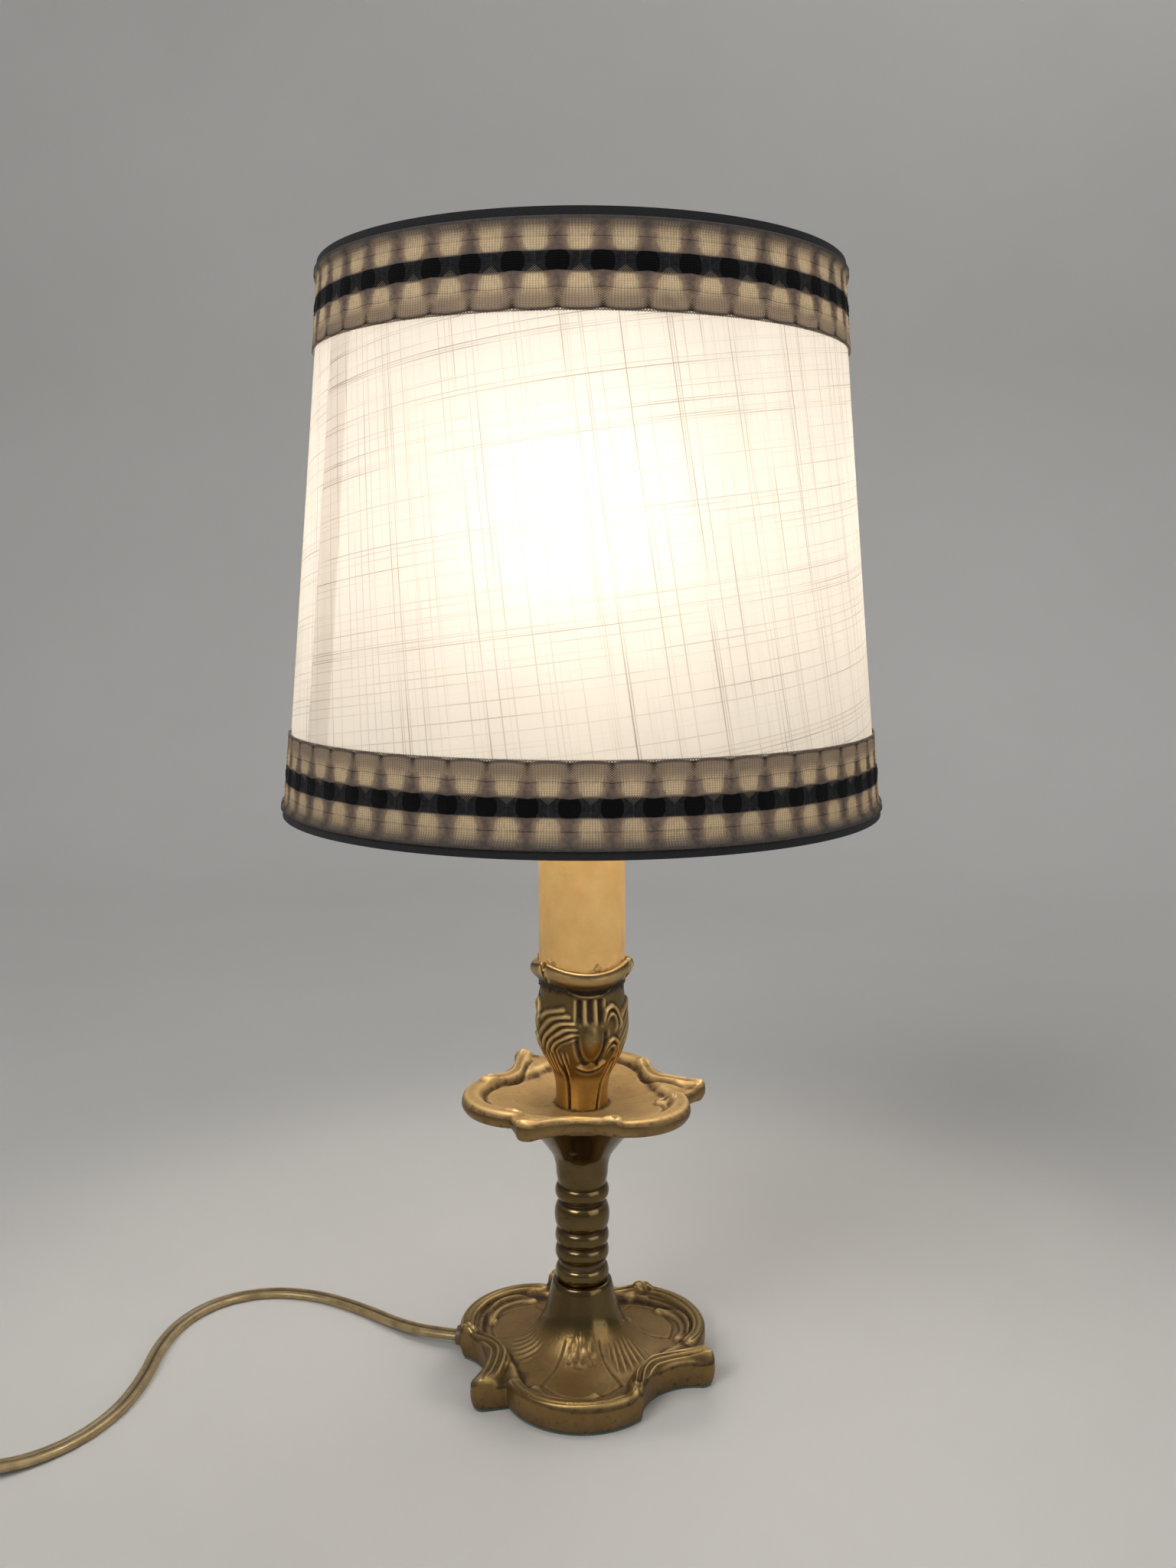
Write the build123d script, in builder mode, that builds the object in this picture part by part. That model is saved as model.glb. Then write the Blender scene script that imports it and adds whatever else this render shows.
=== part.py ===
from build123d import *
import os
from math import cos, pi, radians, sin, tan

os.makedirs("parts", exist_ok=True)

# Table lamp in the shape of a candle: cast brass foot, stem, drip pan and candle cup on a hollow threaded
# tube, a card sleeve over the lampholder, a ball bulb, and a linen shade whose spring clip grips the bulb.
# Millimetres, +Z up, origin on the lamp's axis on the table, front towards -Y.

# Foot
felt_t = 1.0
felt_inset = 1.0
foot_h = 28.0
foot_rim_h = 9.0
foot_lobe_r = 42.8
foot_lobe_end_r = 39.5
foot_corner_r = 36.6
foot_notch_r = 32.7
foot_tip_r = 44.2
foot_tip_side_r = 42.4
foot_dish_lobe_r = 36.0
foot_dish_notch_r = 25.5
foot_dish_end_r = 31.5
foot_floor_h = 6.2
foot_floor_t = 1.8
foot_top_r = 9.6
foot_web_t = 5.0
trumpet_base_r = 24.0
trumpet_mid_r = 16.2
trumpet_mid_h = 10.6
trumpet_neck_r = 11.6
trumpet_neck_h = 19.0
trumpet_hollow_r = 17.0
trumpet_hollow_h = 11.0
foot_edge_fillet = 1.2
thirds = (0, 120, 240)
foot_lobe_deg = (351, 28, 58)
foot_notch_deg = (79, 97)
foot_tip_deg = (101, 105)
foot_corner_deg = 111
dish_lobe_deg = (355, 25, 55)
dish_notch_deg = (82, 115)

# Stem, heights above the foot
stem_h = 56.0
stem_ring_r = 8.65
stem_bead_r = 8.85
stem_groove_r = 7.7
stem_neck_r = 7.25
stem_waist_r = 6.8
stem_flare_r = 8.4
stem_top_r = 20.0
stem_ring_h = 5.25
stem_neck_h = 1.9
stem_bead_h = 8.8
stem_waist_h = 1.0
stem_flare_h = 5.6
stem_sweep_r = 9.6
stem_sweep_h = 9.8
stem_bell_r = 11.6
stem_bell_h = 12.9

# Drip pan
pan_seat_t = 3.0
pan_rim_h = 8.5
pan_wall_h = 4.9
pan_seat_r = 21.0
pan_floor_r = 14.5
pan_bowl_r = 27.0
pan_bowl_t = 2.4
pan_lobe_r = 38.4
pan_lobe_start_r = 32.6
pan_lobe_end_r = 32.8
pan_notch_r = 29.5
pan_tip_r = 39.2
pan_tip_side_r = 36.8
pan_band_w = 4.6
pan_tip_deg = (-2, 3, 8)
pan_notch_deg = (28, 46)
pan_lobe_deg = (77, 109)
pan_corner_deg = 118
pan_dish_lobe_deg = (47, 78, 112)
pan_dish_notch_deg = (142, 167)

# Candle cup
cup_h = 48.0
cup_foot_r = 8.1
cup_neck_r = 8.5
cup_flare_r = 10.9
cup_belly_r = 14.2
cup_waist_r = 13.3
cup_lip_r = 16.3
cup_wall = 2.3
cup_floor_h = 13.0
cup_lip_dip = 1.7
cup_seat_depth = 5.5
cup_notch_r = 1.3
cup_neck_h = 8.0
cup_flare_h = 14.0
cup_belly_h = 25.5
cup_waist_h = 39.0
cup_lip_w = 1.2
cup_lip_drop = 3.0
cup_hollow_h = 7.0
cup_panel_deg = 41
cup_panel_half = 60

# Candle sleeve
sleeve_od = 27.0
sleeve_wall = 1.2
sleeve_len = 110.0
sleeve_gap = 0.15

# Threaded tube, washers and nuts
tube_od = 10.0
tube_bore = 8.0
tube_gap = 0.1
nut_flats = 14.0
nut_t = 3.0
washer_od = 16.4
washer_t = 1.2
washer_room = 0.4
thread_end = 2.0

# Lampholder
holder_below_sleeve = 1.5
holder_h = 44.0
holder_r = 11.5
holder_base_r = 10.1
holder_base_h = 11.0
holder_bore_depth = 27.0
shell_r = 8.0
shell_wall = 0.6
shell_below_rim = 1.0
shell_lift = 1.0
contact_t = 0.8
contact_w = 5.0
contact_l = 15.0
bracket_w = 8.0
bracket_t = 1.2
bracket_drop = 22.0
bracket_overlap = 9.0
bracket_screw_r = 1.5
bracket_screw_len = 4.0
screw_end_gap = 0.2
bracket_head_t = 0.5
bracket_head_r = 2.4
bracket_gap = 0.05
bracket_disc_r = 8.8
terminal_side = 4.0
terminal_h = 5.0
terminal_offset = 5.5
terminal_screw_r = 1.2
terminal_screw_len = 2.2

# Ball bulb on a 14 mm screw cap
bulb_r = 22.5
bulb_rise = 31.0
bulb_glass_t = 0.7
bulb_neck_r = 6.9
bulb_neck_rise = 0.5
bulb_shoulder_deg = 38.0
cap_r = 6.95
cap_wall = 0.4
cap_gap = 0.05
cap_rim_r = 7.5
cap_rim_h = 4.2
cap_h = 21.5
cap_edge = 0.5
cap_edge_h = 1.0
cap_step_h = 0.6
insulator_h = 1.7
insulator_low_r = 3.0
insulator_high_r = 6.25
tip_r = 2.4
tip_face_r = 1.9
tip_h = 0.7
contact_gap = 0.3
mount_h = 17.0
mount_top_r = 2.4
mount_flare_h = 5.0
lead_wire_d = 0.7
lead_wire_x = 1.45
lead_wire_rise = 3.0
lead_wire_bend = 1.4
filament_r = 9.0

# Spring clip on the bulb and swivel rivet
clip_wire_d = 1.6
clip_gap = 0.3
clip_half_w = 8.0
clip_reach = 9.0
clip_flare = 1.7
clip_bend_r = 4.0
clip_end_r = 7.5
clip_join_x = 1.0
clip_shoulder_x = 8.0
clip_shoulder_h = 12.0
clip_rise = 3.6
clip_plate_l = 18.0
clip_plate_w = 22.0
clip_plate_t = 1.2
clip_plate_corner = 3.0
rivet_r = 2.0
rivet_head_r = 3.6
rivet_head_t = 1.4
swivel_gap = 0.05
swivel_face_gap = 0.1

# Shade
shade_h = 158.0
shade_bottom_r = 89.6
shade_top_r = 75.7
fabric_t = 0.5
liner_t = 0.4
layer_gap = 0.05
ring_wire_d = 2.4
hub_r = 9.0
hub_t = 1.6
arm_d = 2.4
arm_root_r = 8.0
arm_degs = (30, 150, 270)
arm_rise = 40.0
edge_t = 0.7
edge_leg = 3.0
edge_proud = 0.9
braid_w = 20.5
braid_t = 0.8

# Lead, its bush and its route
cord_d = 5.0
cord_gap = 0.05
core_d = 2.3
core_side = 1.25
exit_deg = 168.0
exit_h = 3.2
bush_od = 6.2
bush_in_r = 34.6
bush_out_r = 42.3
lead_start_r = 35.6
lead_clear_r = 50.5
lead_bend_share = 0.45
core_turn_r = 29.6
core_low_r = 20.0
core_rise_r = 9.0
core_low_gap = 0.4
core_rise = 0.6
core_in_tube = 4.0
core_twist_drop = 20.0
core_out_rise = 1.0
core_end_run = 3.0
core_bends = (4, 4, 4, 4, 30, 8, 2)
coil_centre = (-224.0, -132.0)
coil_r = 40.5
coil_pitch = 5.6
coil_turns = 3.65
coil_start_deg = 180.0
coil_climb_turns = 0.5
coil_in_run = 12.0
coil_out_run = 10.0
tie_t = 1.0
tie_w = 6.0
tie_gap = 0.4
tie_deg = 30.0
tie_corner = 3.0
tie_hole_corner = 2.0

# In-line switch
switch_centre = (-218.0, -74.0)
switch_heading = 190.0
switch_l = 58.0
switch_w = 24.0
switch_base_h = 6.0
switch_top_h = 9.0
switch_wall = 1.8
switch_corner = 6.0
switch_cord_set = 4.5
switch_lead_in = 9.0
switch_lead_out = 11.0
switch_post_r = 3.2
switch_screw_r = 1.4
switch_screw_head_r = 2.5
switch_screw_head_t = 1.6
switch_screw_x = 19.0
switch_screw_y = 7.6
switch_screw_sink = 0.4
switch_screw_short = 1.0
rocker_r = 9.8
rocker_w = 11.0
rocker_top = 3.2
rocker_under = 2.6
rocker_tilt = 8.0
rocker_clear = 0.5
axle_r = 1.2
axle_len = 15.0
axle_gap = 0.05
axle_below_top = 2.0
axle_end_gap = 0.1
lug_wall = 0.6
lug_into_top = 0.5
contact_strip_l = 12.0
contact_strip_w = 4.0
contact_strip_t = 0.8
contact_strip_x = 10.0

# Two-pin plug
plug_at = (-172.0, -159.0)
plug_len = 36.0
plug_neck_w = 8.0
plug_face_w = 35.0
plug_t = 13.7
plug_pin_d = 4.0
plug_pin_len = 19.0
plug_pin_core_d = 3.2
plug_pin_sleeve = 10.0
plug_pin_set = 8.0
plug_cord_set = 9.0
plug_cord_run = 3.0
plug_waist_x = 12.6
plug_waist_w = 9.6
plug_shoulder_x = 25.9
plug_shoulder_w = 33.0
plug_fillet = 3.0
plug_pin_gap = 18.6

# Heights that follow
foot_top = felt_t + foot_h
foot_floor_z = felt_t + foot_floor_h
foot_ceiling_z = foot_floor_z - foot_floor_t
stem_top = foot_top + stem_h
pan_top = stem_top + pan_rim_h
cup_z = stem_top + pan_seat_t
cup_top = cup_z + cup_h
cup_floor_z = cup_z + cup_floor_h
sleeve_z = cup_top - cup_seat_depth
sleeve_top = sleeve_z + sleeve_len
sleeve_r = sleeve_od / 2
tube_r = tube_od / 2
tube_hole_r = tube_r + tube_gap
nut_room_r = washer_od / 2 + washer_room
foot_washer_z = foot_top - foot_web_t - washer_t
foot_nut_z = foot_washer_z - nut_t
tube_z = foot_nut_z - thread_end
holder_top = sleeve_top - holder_below_sleeve
holder_z = holder_top - holder_h
holder_bore_z = holder_top - holder_bore_depth
bracket_z = holder_z - bracket_drop
tube_top = bracket_z + bracket_t + nut_t + thread_end
shell_z = holder_bore_z + shell_lift + contact_t
bulb_z = sleeve_top + bulb_rise
tip_z = holder_bore_z + contact_t + contact_gap
insulator_z = tip_z + tip_h
cap_z = insulator_z + insulator_h
cap_top = cap_z + cap_h
cap_rim_z = cap_top - cap_rim_h
shell_h = cap_rim_z - shell_below_rim - shell_z
clip_wire_r = clip_wire_d / 2
clip_plate_z = bulb_z + bulb_r + clip_rise
hub_z = clip_plate_z + clip_plate_t + swivel_face_gap
rivet_head_z = hub_z + hub_t + swivel_face_gap
ring_wire_r = ring_wire_d / 2
top_ring_z = hub_z + hub_t / 2 + arm_rise
shade_top = top_ring_z + ring_wire_r + edge_t
shade_z = shade_top - shade_h
bottom_ring_z = shade_z + edge_t + ring_wire_r
cord_r = cord_d / 2
coil_z = tie_t + tie_gap + cord_r
coil_top_z = coil_z + coil_pitch
exit_z = felt_t + exit_h
switch_split = switch_base_h
switch_top = switch_base_h + switch_top_h


def polar(r, deg, z=None):
    """Point at a radius and an angle from +X, with a height if one is given."""
    flat = (r * cos(radians(deg)), r * sin(radians(deg)))
    return flat if z is None else (*flat, z)


def foot_outline(inset=0.0):
    """Edge of the foot: a lobe, a hollow notch and a scroll tip, three times round."""
    for turn in thirds:
        lobe = [polar(r - inset, a + turn)
                for r, a in zip((foot_corner_r, foot_lobe_r, foot_lobe_end_r), foot_lobe_deg)]
        notch = [polar(r - inset, a + turn) for r, a in zip((foot_notch_r, foot_tip_side_r), foot_notch_deg)]
        tip = [polar(r - inset, a + turn) for r, a in zip((foot_tip_r, foot_tip_side_r), foot_tip_deg)]
        ThreePointArc(*lobe)
        ThreePointArc(lobe[2], *notch)
        ThreePointArc(notch[1], *tip)
        Line(tip[1], polar(foot_corner_r - inset, foot_corner_deg + turn))


def dish_outline(inset=0.0):
    """Inner edge of the foot's rim band: three lobes and three notches."""
    for turn in thirds:
        lobe = [polar(r - inset, a + turn)
                for r, a in zip((foot_dish_end_r, foot_dish_lobe_r, foot_dish_end_r), dish_lobe_deg)]
        notch = [polar(r - inset, a + turn)
                 for r, a in zip((foot_dish_notch_r, foot_dish_end_r), dish_notch_deg)]
        ThreePointArc(*lobe)
        ThreePointArc(lobe[2], *notch)


def pan_outline():
    """Edge of the drip pan: a scroll tip, a hollow notch and a lobe, three times round."""
    for turn in thirds:
        tip = [polar(r, a + turn) for r, a in zip((pan_tip_side_r, pan_tip_r, pan_tip_side_r), pan_tip_deg)]
        notch = [polar(r, a + turn) for r, a in zip((pan_notch_r, pan_lobe_start_r), pan_notch_deg)]
        lobe = [polar(r, a + turn) for r, a in zip((pan_lobe_r, pan_lobe_end_r), pan_lobe_deg)]
        ThreePointArc(*tip)
        ThreePointArc(tip[2], *notch)
        ThreePointArc(notch[1], *lobe)
        Line(lobe[1], polar(pan_tip_side_r, pan_corner_deg + turn))


def pan_dish_outline():
    """Inner edge of the pan's rim band."""
    for turn in thirds:
        lobe = [polar(r - pan_band_w, a + turn)
                for r, a in zip((pan_lobe_start_r, pan_lobe_r, pan_lobe_end_r), pan_dish_lobe_deg)]
        notch = [polar(r - pan_band_w, a + turn)
                 for r, a in zip((pan_notch_r, pan_lobe_start_r), pan_dish_notch_deg)]
        ThreePointArc(*lobe)
        ThreePointArc(lobe[2], *notch)


def shade_r(z):
    """Outer radius of the shade's fabric at a height."""
    return shade_bottom_r + (shade_top_r - shade_bottom_r) * (z - shade_z) / shade_h


def bend_radii(points):
    """Largest arc that each corner of a lead's route leaves room for."""
    radii = []
    for before, corner, after in zip(points, points[1:], points[2:]):
        first = Vector(corner) - Vector(before)
        second = Vector(after) - Vector(corner)
        half_turn = radians(first.get_angle(second)) / 2
        radii.append(lead_bend_share * min(first.length, second.length) / tan(half_turn))
    return radii


def print_route(name, points, length, solid):
    """Radii of a route, its length, and its volume beside section times length."""
    print(name, "radii", [round(r, 1) for r in bend_radii(points)])
    print(name, "length", round(length, 1), "volume", round(solid.volume, 1),
          round(pi * cord_r ** 2 * length, 1))


def section_plane(points):
    """Plane square to the start of a route."""
    return Plane(origin=points[0], z_dir=Vector(points[1]) - Vector(points[0]))


# Felt glued under the foot
with BuildPart() as foot_felt:
    with BuildSketch():
        with BuildLine():
            foot_outline(felt_inset)
        make_face()
    extrude(amount=felt_t)
foot_felt.part.label = "foot_felt"
export_step(foot_felt.part, "parts/foot_felt.step")

# Cast foot: scrolled rim, dished floor and the trumpet that carries the stem
exit_plane = Plane(origin=polar(bush_in_r, exit_deg, exit_z), z_dir=(*polar(1, exit_deg), 0))
with BuildPart() as foot_casting:
    with BuildSketch(Plane.XY.offset(felt_t)):
        with BuildLine():
            foot_outline()
        make_face()
    extrude(amount=foot_rim_h)
    rim_edges = foot_casting.faces().sort_by(Axis.Z)[-1].edges()
    fillet(rim_edges, foot_edge_fillet)
    with BuildSketch(Plane.XY.offset(foot_floor_z)):
        with BuildLine():
            dish_outline()
        make_face()
    extrude(amount=foot_h, mode=Mode.SUBTRACT)
    with BuildSketch(Plane.XZ):
        with BuildLine():
            Polyline((0, foot_ceiling_z), (trumpet_base_r, foot_ceiling_z), (trumpet_base_r, foot_floor_z))
            Spline((trumpet_base_r, foot_floor_z), (trumpet_mid_r, felt_t + trumpet_mid_h),
                   (trumpet_neck_r, felt_t + trumpet_neck_h), (foot_top_r, foot_top),
                   tangents=((-1, 0.12), (-0.08, 1)))
            Polyline((foot_top_r, foot_top), (0, foot_top), (0, foot_ceiling_z))
        make_face()
    revolve(axis=Axis.Z)
    with BuildSketch(Plane.XY.offset(felt_t)):
        with BuildLine():
            dish_outline(felt_inset)
        make_face()
    extrude(amount=foot_floor_h - foot_floor_t, mode=Mode.SUBTRACT)
    with BuildSketch(Plane.XZ):
        Polygon((0, felt_t), (trumpet_hollow_r, felt_t), (trumpet_hollow_r, foot_ceiling_z),
                (nut_room_r, felt_t + trumpet_hollow_h), (nut_room_r, foot_washer_z + washer_t),
                (0, foot_washer_z + washer_t))
    revolve(axis=Axis.Z, mode=Mode.SUBTRACT)
    with BuildSketch(Plane.XY.offset(foot_washer_z)):
        Circle(tube_hole_r)
    extrude(amount=foot_h, mode=Mode.SUBTRACT)
    with BuildSketch(exit_plane):
        Circle(bush_od / 2 + cord_gap)
    extrude(amount=4 * bush_od, mode=Mode.SUBTRACT)
    with BuildSketch(exit_plane):
        Circle(cord_r + cord_gap)
    extrude(amount=-bush_od, mode=Mode.SUBTRACT)
foot_casting.part.label = "foot_casting"
export_step(foot_casting.part, "parts/foot_casting.step")

# Washer and nut that clamp the column from inside the trumpet
with BuildPart() as foot_washer:
    with BuildSketch(Plane.XY.offset(foot_washer_z)):
        Circle(washer_od / 2)
        Circle(tube_hole_r, mode=Mode.SUBTRACT)
    extrude(amount=washer_t)
foot_washer.part.label = "foot_washer"
export_step(foot_washer.part, "parts/foot_washer.step")

with BuildPart() as foot_nut:
    with BuildSketch(Plane.XY.offset(foot_nut_z)):
        RegularPolygon(nut_flats / 2, 6, major_radius=False)
        Circle(tube_hole_r, mode=Mode.SUBTRACT)
    extrude(amount=nut_t)
foot_nut.part.label = "foot_nut"
export_step(foot_nut.part, "parts/foot_nut.step")

# Hollow threaded tube through the whole column
with BuildPart() as threaded_tube:
    with BuildSketch(Plane.XY.offset(tube_z)):
        Circle(tube_r)
        Circle(tube_bore / 2, mode=Mode.SUBTRACT)
    extrude(amount=tube_top - tube_z)
threaded_tube.part.label = "threaded_tube"
export_step(threaded_tube.part, "parts/threaded_tube.step")

# Turned stem: rings, beads and the flare under the pan
ring_1_z = foot_top + stem_ring_h
neck_z = ring_1_z + stem_neck_h
ring_2_z = neck_z + stem_ring_h
ring_3_z = ring_2_z + stem_ring_h
bead_z = ring_3_z + stem_bead_h
waist_z = bead_z + stem_waist_h
ring_4_z = waist_z + stem_ring_h
with BuildPart() as stem_casting:
    with BuildSketch(Plane.XZ):
        with BuildLine():
            Line((0, foot_top), (stem_groove_r, foot_top))
            half_ring = stem_ring_h / 2
            ThreePointArc((stem_groove_r, foot_top), (stem_ring_r, foot_top + half_ring),
                          (stem_neck_r, ring_1_z))
            Line((stem_neck_r, ring_1_z), (stem_neck_r, neck_z))
            ThreePointArc((stem_neck_r, neck_z), (stem_ring_r, neck_z + half_ring),
                          (stem_groove_r, ring_2_z))
            ThreePointArc((stem_groove_r, ring_2_z), (stem_ring_r, ring_2_z + half_ring),
                          (stem_groove_r, ring_3_z))
            ThreePointArc((stem_groove_r, ring_3_z), (stem_bead_r, ring_3_z + stem_bead_h / 2),
                          (stem_waist_r, bead_z))
            Line((stem_waist_r, bead_z), (stem_waist_r, waist_z))
            ThreePointArc((stem_waist_r, waist_z), (stem_ring_r, waist_z + half_ring),
                          (stem_groove_r, ring_4_z))
            Spline((stem_groove_r, ring_4_z), (stem_flare_r, ring_4_z + stem_flare_h),
                   (stem_sweep_r, ring_4_z + stem_sweep_h), (stem_bell_r, ring_4_z + stem_bell_h),
                   (stem_top_r, stem_top), tangents=((0.4, 1), (1, 0.7)))
            Polyline((stem_top_r, stem_top), (0, stem_top), (0, foot_top))
        make_face()
    revolve(axis=Axis.Z)
    with BuildSketch(Plane.XY.offset(foot_top)):
        Circle(tube_hole_r)
    extrude(amount=stem_h, mode=Mode.SUBTRACT)
stem_casting.part.label = "stem_casting"
export_step(stem_casting.part, "parts/stem_casting.step")

# Drip pan: a small bowl that opens into a scrolled rim
pan_wall_z = pan_top - pan_wall_h
with BuildPart() as drip_pan:
    with BuildSketch(Plane.XY.offset(pan_wall_z)):
        with BuildLine():
            pan_outline()
        make_face()
    extrude(amount=pan_wall_h)
    with BuildSketch(Plane.XZ):
        Polygon((0, stem_top), (pan_seat_r, stem_top), (pan_bowl_r, pan_wall_z),
                (pan_bowl_r, pan_wall_z + pan_bowl_t), (0, pan_wall_z + pan_bowl_t))
    revolve(axis=Axis.Z)
    with BuildSketch(Plane.XY.offset(pan_wall_z + pan_bowl_t)):
        with BuildLine():
            pan_dish_outline()
        make_face()
    extrude(amount=pan_rim_h, mode=Mode.SUBTRACT)
    with BuildSketch(Plane.XZ):
        Polygon((0, cup_z), (pan_floor_r, cup_z), (pan_bowl_r - pan_bowl_t, pan_wall_z + pan_bowl_t),
                (0, pan_wall_z + pan_bowl_t))
    revolve(axis=Axis.Z, mode=Mode.SUBTRACT)
    with BuildSketch(Plane.XY.offset(stem_top)):
        Circle(tube_hole_r)
    extrude(amount=pan_rim_h, mode=Mode.SUBTRACT)
drip_pan.part.label = "drip_pan"
export_step(drip_pan.part, "parts/drip_pan.step")

# Candle cup: fluted neck, round belly and a rolled lip in three dipping segments
with BuildPart() as candle_cup:
    with BuildSketch(Plane.XZ):
        with BuildLine():
            Line((0, cup_z), (cup_foot_r, cup_z))
            Spline((cup_foot_r, cup_z), (cup_neck_r, cup_z + cup_neck_h), (cup_flare_r, cup_z + cup_flare_h),
                   (cup_belly_r, cup_z + cup_belly_h), (cup_waist_r, cup_z + cup_waist_h),
                   tangents=((0, 1), (0, 1)))
            mouth_r = sleeve_r + sleeve_gap
            ThreePointArc((cup_waist_r, cup_z + cup_waist_h), (cup_lip_r, cup_top - cup_lip_drop),
                          (mouth_r + cup_lip_w, cup_top))
            Polyline((mouth_r + cup_lip_w, cup_top), (mouth_r, cup_top), (mouth_r, sleeve_z),
                     (cup_waist_r - cup_wall, sleeve_z), (cup_waist_r - cup_wall, cup_floor_z + cup_hollow_h),
                     (nut_room_r, cup_floor_z), (0, cup_floor_z), (0, cup_z))
        make_face()
    revolve(axis=Axis.Z)
    with BuildSketch(Plane.XY.offset(cup_z)):
        Circle(tube_hole_r)
    extrude(amount=cup_floor_h, mode=Mode.SUBTRACT)
    dip_half = cup_lip_r * sin(radians(cup_panel_half))
    dip_r = (dip_half ** 2 + cup_lip_dip ** 2) / (2 * cup_lip_dip)
    dip_z = cup_top - cup_lip_dip + dip_r
    for turn in thirds:
        panel = (*polar(1, cup_panel_deg + turn), 0)
        between = (*polar(1, cup_panel_deg + cup_panel_half + turn), 0)
        with BuildSketch(Plane(origin=(0, 0, dip_z), z_dir=panel)):
            Circle(dip_r)
        extrude(amount=2 * cup_lip_r, mode=Mode.SUBTRACT)
        with BuildSketch(Plane(origin=(0, 0, cup_top), z_dir=between)):
            Circle(cup_notch_r)
        extrude(amount=2 * cup_lip_r, mode=Mode.SUBTRACT)
candle_cup.part.label = "candle_cup"
export_step(candle_cup.part, "parts/candle_cup.step")

# Washer and nut on the cup's floor, hidden by the sleeve
with BuildPart() as cup_washer:
    with BuildSketch(Plane.XY.offset(cup_floor_z)):
        Circle(washer_od / 2)
        Circle(tube_hole_r, mode=Mode.SUBTRACT)
    extrude(amount=washer_t)
cup_washer.part.label = "cup_washer"
export_step(cup_washer.part, "parts/cup_washer.step")

with BuildPart() as cup_nut:
    with BuildSketch(Plane.XY.offset(cup_floor_z + washer_t)):
        RegularPolygon(nut_flats / 2, 6, major_radius=False)
        Circle(tube_hole_r, mode=Mode.SUBTRACT)
    extrude(amount=nut_t)
cup_nut.part.label = "cup_nut"
export_step(cup_nut.part, "parts/cup_nut.step")

# Card sleeve that looks like the candle
with BuildPart() as candle_sleeve:
    with BuildSketch(Plane.XY.offset(sleeve_z)):
        Circle(sleeve_r)
        Circle(sleeve_r - sleeve_wall, mode=Mode.SUBTRACT)
    extrude(amount=sleeve_len)
candle_sleeve.part.label = "candle_sleeve"
export_step(candle_sleeve.part, "parts/candle_sleeve.step")

# Lampholder bracket: a strip bent into a U, clamped between two nuts on the tube's end
bracket_half = holder_base_r + bracket_t + bracket_gap
bracket_h = bracket_drop + bracket_overlap
with BuildPart() as holder_bracket:
    with BuildSketch(Plane.XY.offset(bracket_z)):
        Rectangle(2 * bracket_half, bracket_w)
    extrude(amount=bracket_h)
    with BuildSketch(Plane.XY.offset(bracket_z + bracket_t)):
        Rectangle(2 * (bracket_half - bracket_t), bracket_w)
    extrude(amount=bracket_h, mode=Mode.SUBTRACT)
    with BuildSketch(Plane.XY.offset(bracket_z)):
        Circle(bracket_disc_r)
    extrude(amount=bracket_t)
    with BuildSketch(Plane.XY.offset(bracket_z)):
        Circle(tube_hole_r)
    extrude(amount=bracket_t, mode=Mode.SUBTRACT)
    bracket_screw_z = holder_z + bracket_overlap / 2
    with BuildSketch(Plane(origin=(-bracket_half, 0, bracket_screw_z), z_dir=(1, 0, 0))):
        Circle(bracket_screw_r + tube_gap)
    extrude(amount=2 * bracket_half, mode=Mode.SUBTRACT)
holder_bracket.part.label = "holder_bracket"
export_step(holder_bracket.part, "parts/holder_bracket.step")

with BuildPart() as bracket_nuts:
    for z in (bracket_z - nut_t, bracket_z + bracket_t):
        with BuildSketch(Plane.XY.offset(z)):
            RegularPolygon(nut_flats / 2, 6, major_radius=False)
            Circle(tube_hole_r, mode=Mode.SUBTRACT)
        extrude(amount=nut_t)
bracket_nuts.part.label = "bracket_nuts"
export_step(bracket_nuts.part, "parts/bracket_nuts.step")

# Moulded lampholder body with the bore for the screw shell
with BuildPart() as holder_body:
    with BuildSketch(Plane.XY.offset(holder_z)):
        Circle(holder_base_r)
    extrude(amount=holder_base_h)
    with BuildSketch(Plane.XY.offset(holder_z + holder_base_h)):
        Circle(holder_r)
    extrude(amount=holder_h - holder_base_h)
    with BuildSketch(Plane.XY.offset(holder_bore_z)):
        Circle(shell_r + tube_gap)
    extrude(amount=holder_bore_depth, mode=Mode.SUBTRACT)
    for side in (-1, 1):
        hole_x = side * (bracket_half - bracket_t)
        with BuildSketch(Plane(origin=(hole_x, 0, bracket_screw_z), z_dir=(-side, 0, 0))):
            Circle(bracket_screw_r + cord_gap)
        extrude(amount=bracket_screw_len, mode=Mode.SUBTRACT)
holder_body.part.label = "holder_body"
export_step(holder_body.part, "parts/holder_body.step")

with BuildPart() as bracket_screws:
    for side in (-1, 1):
        with BuildSketch(Plane(origin=(side * bracket_half, 0, bracket_screw_z), z_dir=(-side, 0, 0))):
            Circle(bracket_screw_r)
        extrude(amount=bracket_t + bracket_screw_len - screw_end_gap)
        with BuildSketch(Plane(origin=(side * bracket_half, 0, bracket_screw_z), z_dir=(side, 0, 0))):
            Circle(bracket_head_r)
        extrude(amount=bracket_head_t)
bracket_screws.part.label = "bracket_screws"
export_step(bracket_screws.part, "parts/bracket_screws.step")

# Brass screw shell, centre contact and terminals
with BuildPart() as screw_shell:
    with BuildSketch(Plane.XY.offset(shell_z)):
        Circle(shell_r)
        Circle(shell_r - shell_wall, mode=Mode.SUBTRACT)
    extrude(amount=shell_h)
screw_shell.part.label = "screw_shell"
export_step(screw_shell.part, "parts/screw_shell.step")

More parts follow.
